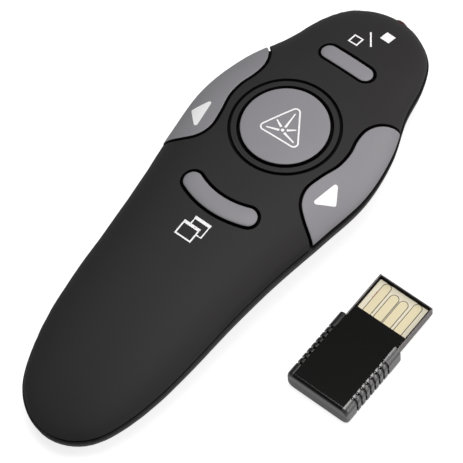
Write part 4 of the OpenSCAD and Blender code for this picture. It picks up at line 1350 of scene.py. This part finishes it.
def housing(node, z0, z1, hollow, bottom, top):
    """One tray from z0 to z1, with its slots, emptied by the block hollow."""
    shape = rounded_tail(z0, z1, bottom, top)
    piece = new_piece(node + "_body", *beside(shape), GLOSS_BLACK)
    cut(piece, [beside(s) for s in slots()])
    cut(piece, [beside(hollow)])
    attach(piece, "receiver")
    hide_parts(node)
    return piece


def satin_and_sheen_sides(piece):
    """A fine matt texture and a painted sheen on the gripped ridges; slots and flats stay glossy.
    """
    mesh = piece.data
    mesh.materials.append(GRIP_SATIN_SHEEN)
    middle = np.array([face.center for face in mesh.polygons]) / MM
    lean = np.array([abs(face.normal.x) for face in mesh.polygons])
    over = np.maximum(np.abs(middle[:, 0] - REC_X) - REC_HALF + REC_EDGE, 0)
    above = np.maximum(np.maximum(middle[:, 2] - REC_H, -middle[:, 2]) + REC_EDGE, 0)
    outer = np.hypot(over, above) > REC_EDGE - RIDGE_SHARE * SLOT_DEEP
    mesh.polygons.foreach_set("material_index", (outer & (lean > RIDGE_LEAN)).astype(int))


print("a tray's wall: %.1f mm" % REC_WALL)

# %% [markdown]
# ## Seam, step and apron
# The two trays meet at the seam with a hair of a gap between them. A shallow
# step in the cover leads down to the plug, and a short apron of the cover
# reaches over the plug's board. All of it comes before the bevel, so that the
# bevel runs round it too.

# %% Cover and base
PLUG_ROOM, SEAM_HALF, FINE_EDGE, STEP_SLOPE = 0.05, 0.04, 0.12, 1.2
APRON_HALF, APRON_BACK, APRON_ROOM, APRON_T = 5.65, -1.2, 0.25, 0.35
plug_gap = block(-PLUG_W / 2 - PLUG_ROOM, PLUG_W / 2 + PLUG_ROOM, -REC_WALL - 1, 1,
                 PLUG_Z - PLUG_ROOM, PLUG_Z + PLUG_H + PLUG_ROOM)
inside = (-REC_HALF + REC_WALL, REC_HALF - REC_WALL, -REC_L + REC_WALL, -REC_WALL)
cover = housing("receiver_cover", REC_SPLIT + SEAM_HALF, REC_H,
                block(*inside, 0, REC_H - REC_WALL), False, True)
step = [(STEP_Y, REC_H), (STEP_Y + STEP_SLOPE * STEP_DROP, REC_H - STEP_DROP),
        (1, REC_H - STEP_DROP), (1, REC_H + 1), (STEP_Y, REC_H + 1)]
slope = bar([(-y, z) for y, z in step], -STEP_HALF, STEP_HALF)
slope = [(y, -x, z) for x, y, z in slope[0]], slope[1]
cut(cover, [beside(plug_gap), beside(slope)])
apron = block(-APRON_HALF, APRON_HALF, APRON_BACK, APRON_Y,
              PLUG_Z + SHEET + BOARD_T + APRON_ROOM, PLUG_Z + PLUG_H + APRON_T)
cut(cover, [beside(apron)], "UNION")
soften(cover, FINE_EDGE)
satin_and_sheen_sides(cover)
base = housing("receiver_base", 0, REC_SPLIT - SEAM_HALF, block(*inside, REC_WALL, REC_H),
               True, False)
cut(base, [beside(plug_gap)])
soften(base, FINE_EDGE)
satin_and_sheen_sides(base)
print("housing:", len(cover.data.polygons) + len(base.data.polygons), "faces")

# %% [markdown]
# ## The plug
# This plug has no full shield. It is an open tray of folded steel that carries
# a tongue of circuit board. The tray is a block with its inside cut out, and a
# thin dark lining stands for the shadow line between the sheet and the board.

# %% Tray and board
TRAY_BACK, TRAY_SEGMENTS, TONGUE_EDGE = -1.8, 3, 0.1
sheet_metal = block(-PLUG_W / 2, PLUG_W / 2, TRAY_BACK, PLUG_L, PLUG_Z, PLUG_Z + PLUG_H)
tray = new_piece("plug_tray_sheet", *beside(sheet_metal), PLUG_STEEL)
cut(tray, [beside(block(-PLUG_W / 2 + SHEET, PLUG_W / 2 - SHEET, -5, PLUG_L - SHEET,
                        PLUG_Z + SHEET, 10))])
soften(tray, FINE_EDGE, TRAY_SEGMENTS)
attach(tray, "receiver")
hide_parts("plug_tray")
tongue_z, board_half, board_tip = PLUG_Z + SHEET, 5.55, PLUG_L - SHEET - 0.15
board = block(-board_half, board_half, -REC_L + REC_WALL + 0.5, board_tip,
              tongue_z, tongue_z + BOARD_T)
tongue = new_piece("receiver_board_tongue", *beside(board), CREAM)
soften(tongue, TONGUE_EDGE)
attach(tongue, "receiver")
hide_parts("receiver_board")
# Dark strips painted where the shadow line between the sheet and the board falls.
SHADOW_TOP, SHADOW_IN, SHADOW_OUT, SHADOW_BACK = PLUG_Z + PLUG_H - 0.12, 5.56, 5.69, 1.5
shadow_strips = [block(-SHADOW_OUT, SHADOW_OUT, board_tip + 0.01, PLUG_L - SHEET - 0.01, tongue_z,
               SHADOW_TOP)]
shadow_strips += [block(s * SHADOW_IN, s * SHADOW_OUT, SHADOW_BACK, board_tip, tongue_z, SHADOW_TOP)
          for s in (-1, 1)]
shadow_lining = new_piece("plug_painted_shadow", *together(*[beside(part) for part in shadow_strips]), RUBBER_AND_SHADE_BLACK)
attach(shadow_lining, "receiver")
print("plug tray:", len(tray.data.polygons), "faces")

# %% [markdown]
# ## Contact fingers
# The contacts are gold film on the board, in gaps of the pale solder mask. Each
# gap is a slightly larger dark plate under its finger. The outer two reach
# further, so that power meets the socket before data.

# %% Contact fingers
FINGERS = [(-3.5, 1.6, 10.3), (-1.05, 1.7, 9.3), (1.05, 1.7, 9.3), (3.5, 1.6, 10.3)]
FINGER_BACK, EDGE_W = 1.6, 0.14
EDGE_TOP = tongue_z + BOARD_T + 0.02
FINGER_TOP = EDGE_TOP + 0.02


def plate(outline, z0, z1):
    """A flat solid from its outline on the plan."""
    n = len(outline)
    verts = [(q[0], q[1], z) for z in (z0, z1) for q in outline]
    faces = [tuple(range(n))[::-1], tuple(range(n, 2 * n))]
    return verts, faces + [(k, (k + 1) % n, (k + 1) % n + n, k + n) for k in range(n)]


def finger_plate(x, w, tip, grow, z0, z1):
    """A strip with a round tip."""
    r = w / 2 + grow
    return plate(np.vstack([
        [(x + r, FINGER_BACK)], arc_points((x, tip - w / 2), r, 0, math.pi, 14),
        [(x - r, FINGER_BACK)]]), z0, z1)


def plates(name, solids, material):
    """One piece on the receiver, of several flat solids."""
    piece = new_piece(name, *together(*[beside(solid) for solid in solids]), material)
    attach(piece, "receiver")
    return piece


plates("finger_edges", [finger_plate(*f, EDGE_W, EDGE_TOP - 0.04, EDGE_TOP)
                        for f in FINGERS], MASK_BROWN)
fingers = plates("contact_fingers", [finger_plate(*f, 0, EDGE_TOP - 0.03, FINGER_TOP)
                                     for f in FINGERS], FINGER)
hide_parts("receiver_contacts")
TEST_DOTS, DOT_R = [(-4.42, 7.7), (-4.42, 7.15), (-4.42, 6.6)], 0.13
plates("test_dots", [plate(circle(at, DOT_R, 16), EDGE_TOP - 0.03, FINGER_TOP)
                     for at in TEST_DOTS], WIRE_RED)
print("fingers:", len(FINGERS), "test dots:", len(TEST_DOTS))

# %% [markdown]
# ## The floor and the world
# A pale floor keeps the shadow. Lamps strong enough to turn it white would wash
# out the object, so for the camera the floor also glows. It glows a little for
# mirrored and bent rays too, so that metal and gloss stand on something pale.

# %% Floor and world
FLOOR_MM, PAPER_GREY, WORLD_LIGHT = 3000, 0.45, 0.12
floor_mesh = bpy.data.meshes.new("floor")
floor_mesh.from_pydata([(x * FLOOR_MM * MM, y * FLOOR_MM * MM, 0)
                        for x, y in ((-1, -1), (1, -1), (1, 1), (-1, 1))], [], [(0, 1, 2, 3)])
floor = bpy.data.objects.new("floor", floor_mesh)
bpy.context.scene.collection.objects.link(floor)
paper = bpy.data.materials.new("white_paper")
paper.use_nodes = True
nodes, links = paper.node_tree.nodes, paper.node_tree.links
nodes.remove(nodes["Principled BSDF"])
matt = nodes.new("ShaderNodeBsdfDiffuse")
matt.inputs["Color"].default_value = (PAPER_GREY, PAPER_GREY, PAPER_GREY, 1)
glow = nodes.new("ShaderNodeEmission")
path = nodes.new("ShaderNodeLightPath")
CAMERA_GLOW, MIRROR_GLOW = 0.8, 0.2
bent = nodes.new("ShaderNodeMath")
bent.operation = "MAXIMUM"
mirrored = nodes.new("ShaderNodeMath")
mirrored.operation = "MULTIPLY"
mirrored.inputs[1].default_value = MIRROR_GLOW
amount = nodes.new("ShaderNodeMath")
amount.operation = "MULTIPLY_ADD"
amount.inputs[1].default_value = CAMERA_GLOW
both = nodes.new("ShaderNodeAddShader")
links.new(path.outputs["Is Camera Ray"], amount.inputs[0])
links.new(path.outputs["Is Glossy Ray"], bent.inputs[0])
links.new(path.outputs["Is Transmission Ray"], bent.inputs[1])
links.new(bent.outputs[0], mirrored.inputs[0])
links.new(mirrored.outputs[0], amount.inputs[2])
links.new(amount.outputs[0], glow.inputs["Strength"])
links.new(matt.outputs[0], both.inputs[0])
links.new(glow.outputs[0], both.inputs[1])
links.new(both.outputs[0], nodes["Material Output"].inputs["Surface"])
floor_mesh.materials.append(paper)

world = bpy.data.worlds.new("studio")
world.use_nodes = True
world.node_tree.nodes["Background"].inputs["Color"].default_value = (1, 1, 1, 1)
world.node_tree.nodes["Background"].inputs["Strength"].default_value = WORLD_LIGHT
bpy.context.scene.world = world
bpy.context.scene.view_settings.view_transform = "Standard"
print("floor and world are set")

# %% [markdown]
# ## Three soft lamps
# Blacks are drawn by what they mirror. The main lamp hangs almost overhead, out
# of the way of what the flat tops mirror towards the camera. A faint warm one
# draws the shoulder of the nose, and a low one the right side of both objects.

# %% Lamps


def softbox(name, azimuth, elevation, distance, size, power):
    """A square lamp that looks at the object, with its place as two angles."""
    light = bpy.data.lights.new(name, "AREA")
    light.shape, light.size, light.energy = "SQUARE", size, power
    lamp = bpy.data.objects.new(name, light)
    az, el = math.radians(azimuth), math.radians(elevation)
    way = Vector((math.sin(az) * math.cos(el), -math.cos(az) * math.cos(el), math.sin(el)))
    lamp.location = way * distance
    lamp.rotation_euler = way.to_track_quat("Z", "Y").to_euler()
    bpy.context.scene.collection.objects.link(lamp)
    return lamp


softbox("main_light", 140, 84, 0.9, 0.45, 6.2)
softbox("shoulder_light", 136, 30, 0.8, 0.3, 1.6).data.color = (1.0, 0.9, 0.92)
softbox("low_light", 110, 12, 0.8, 0.5, 1.7)
print("lamps: 3")
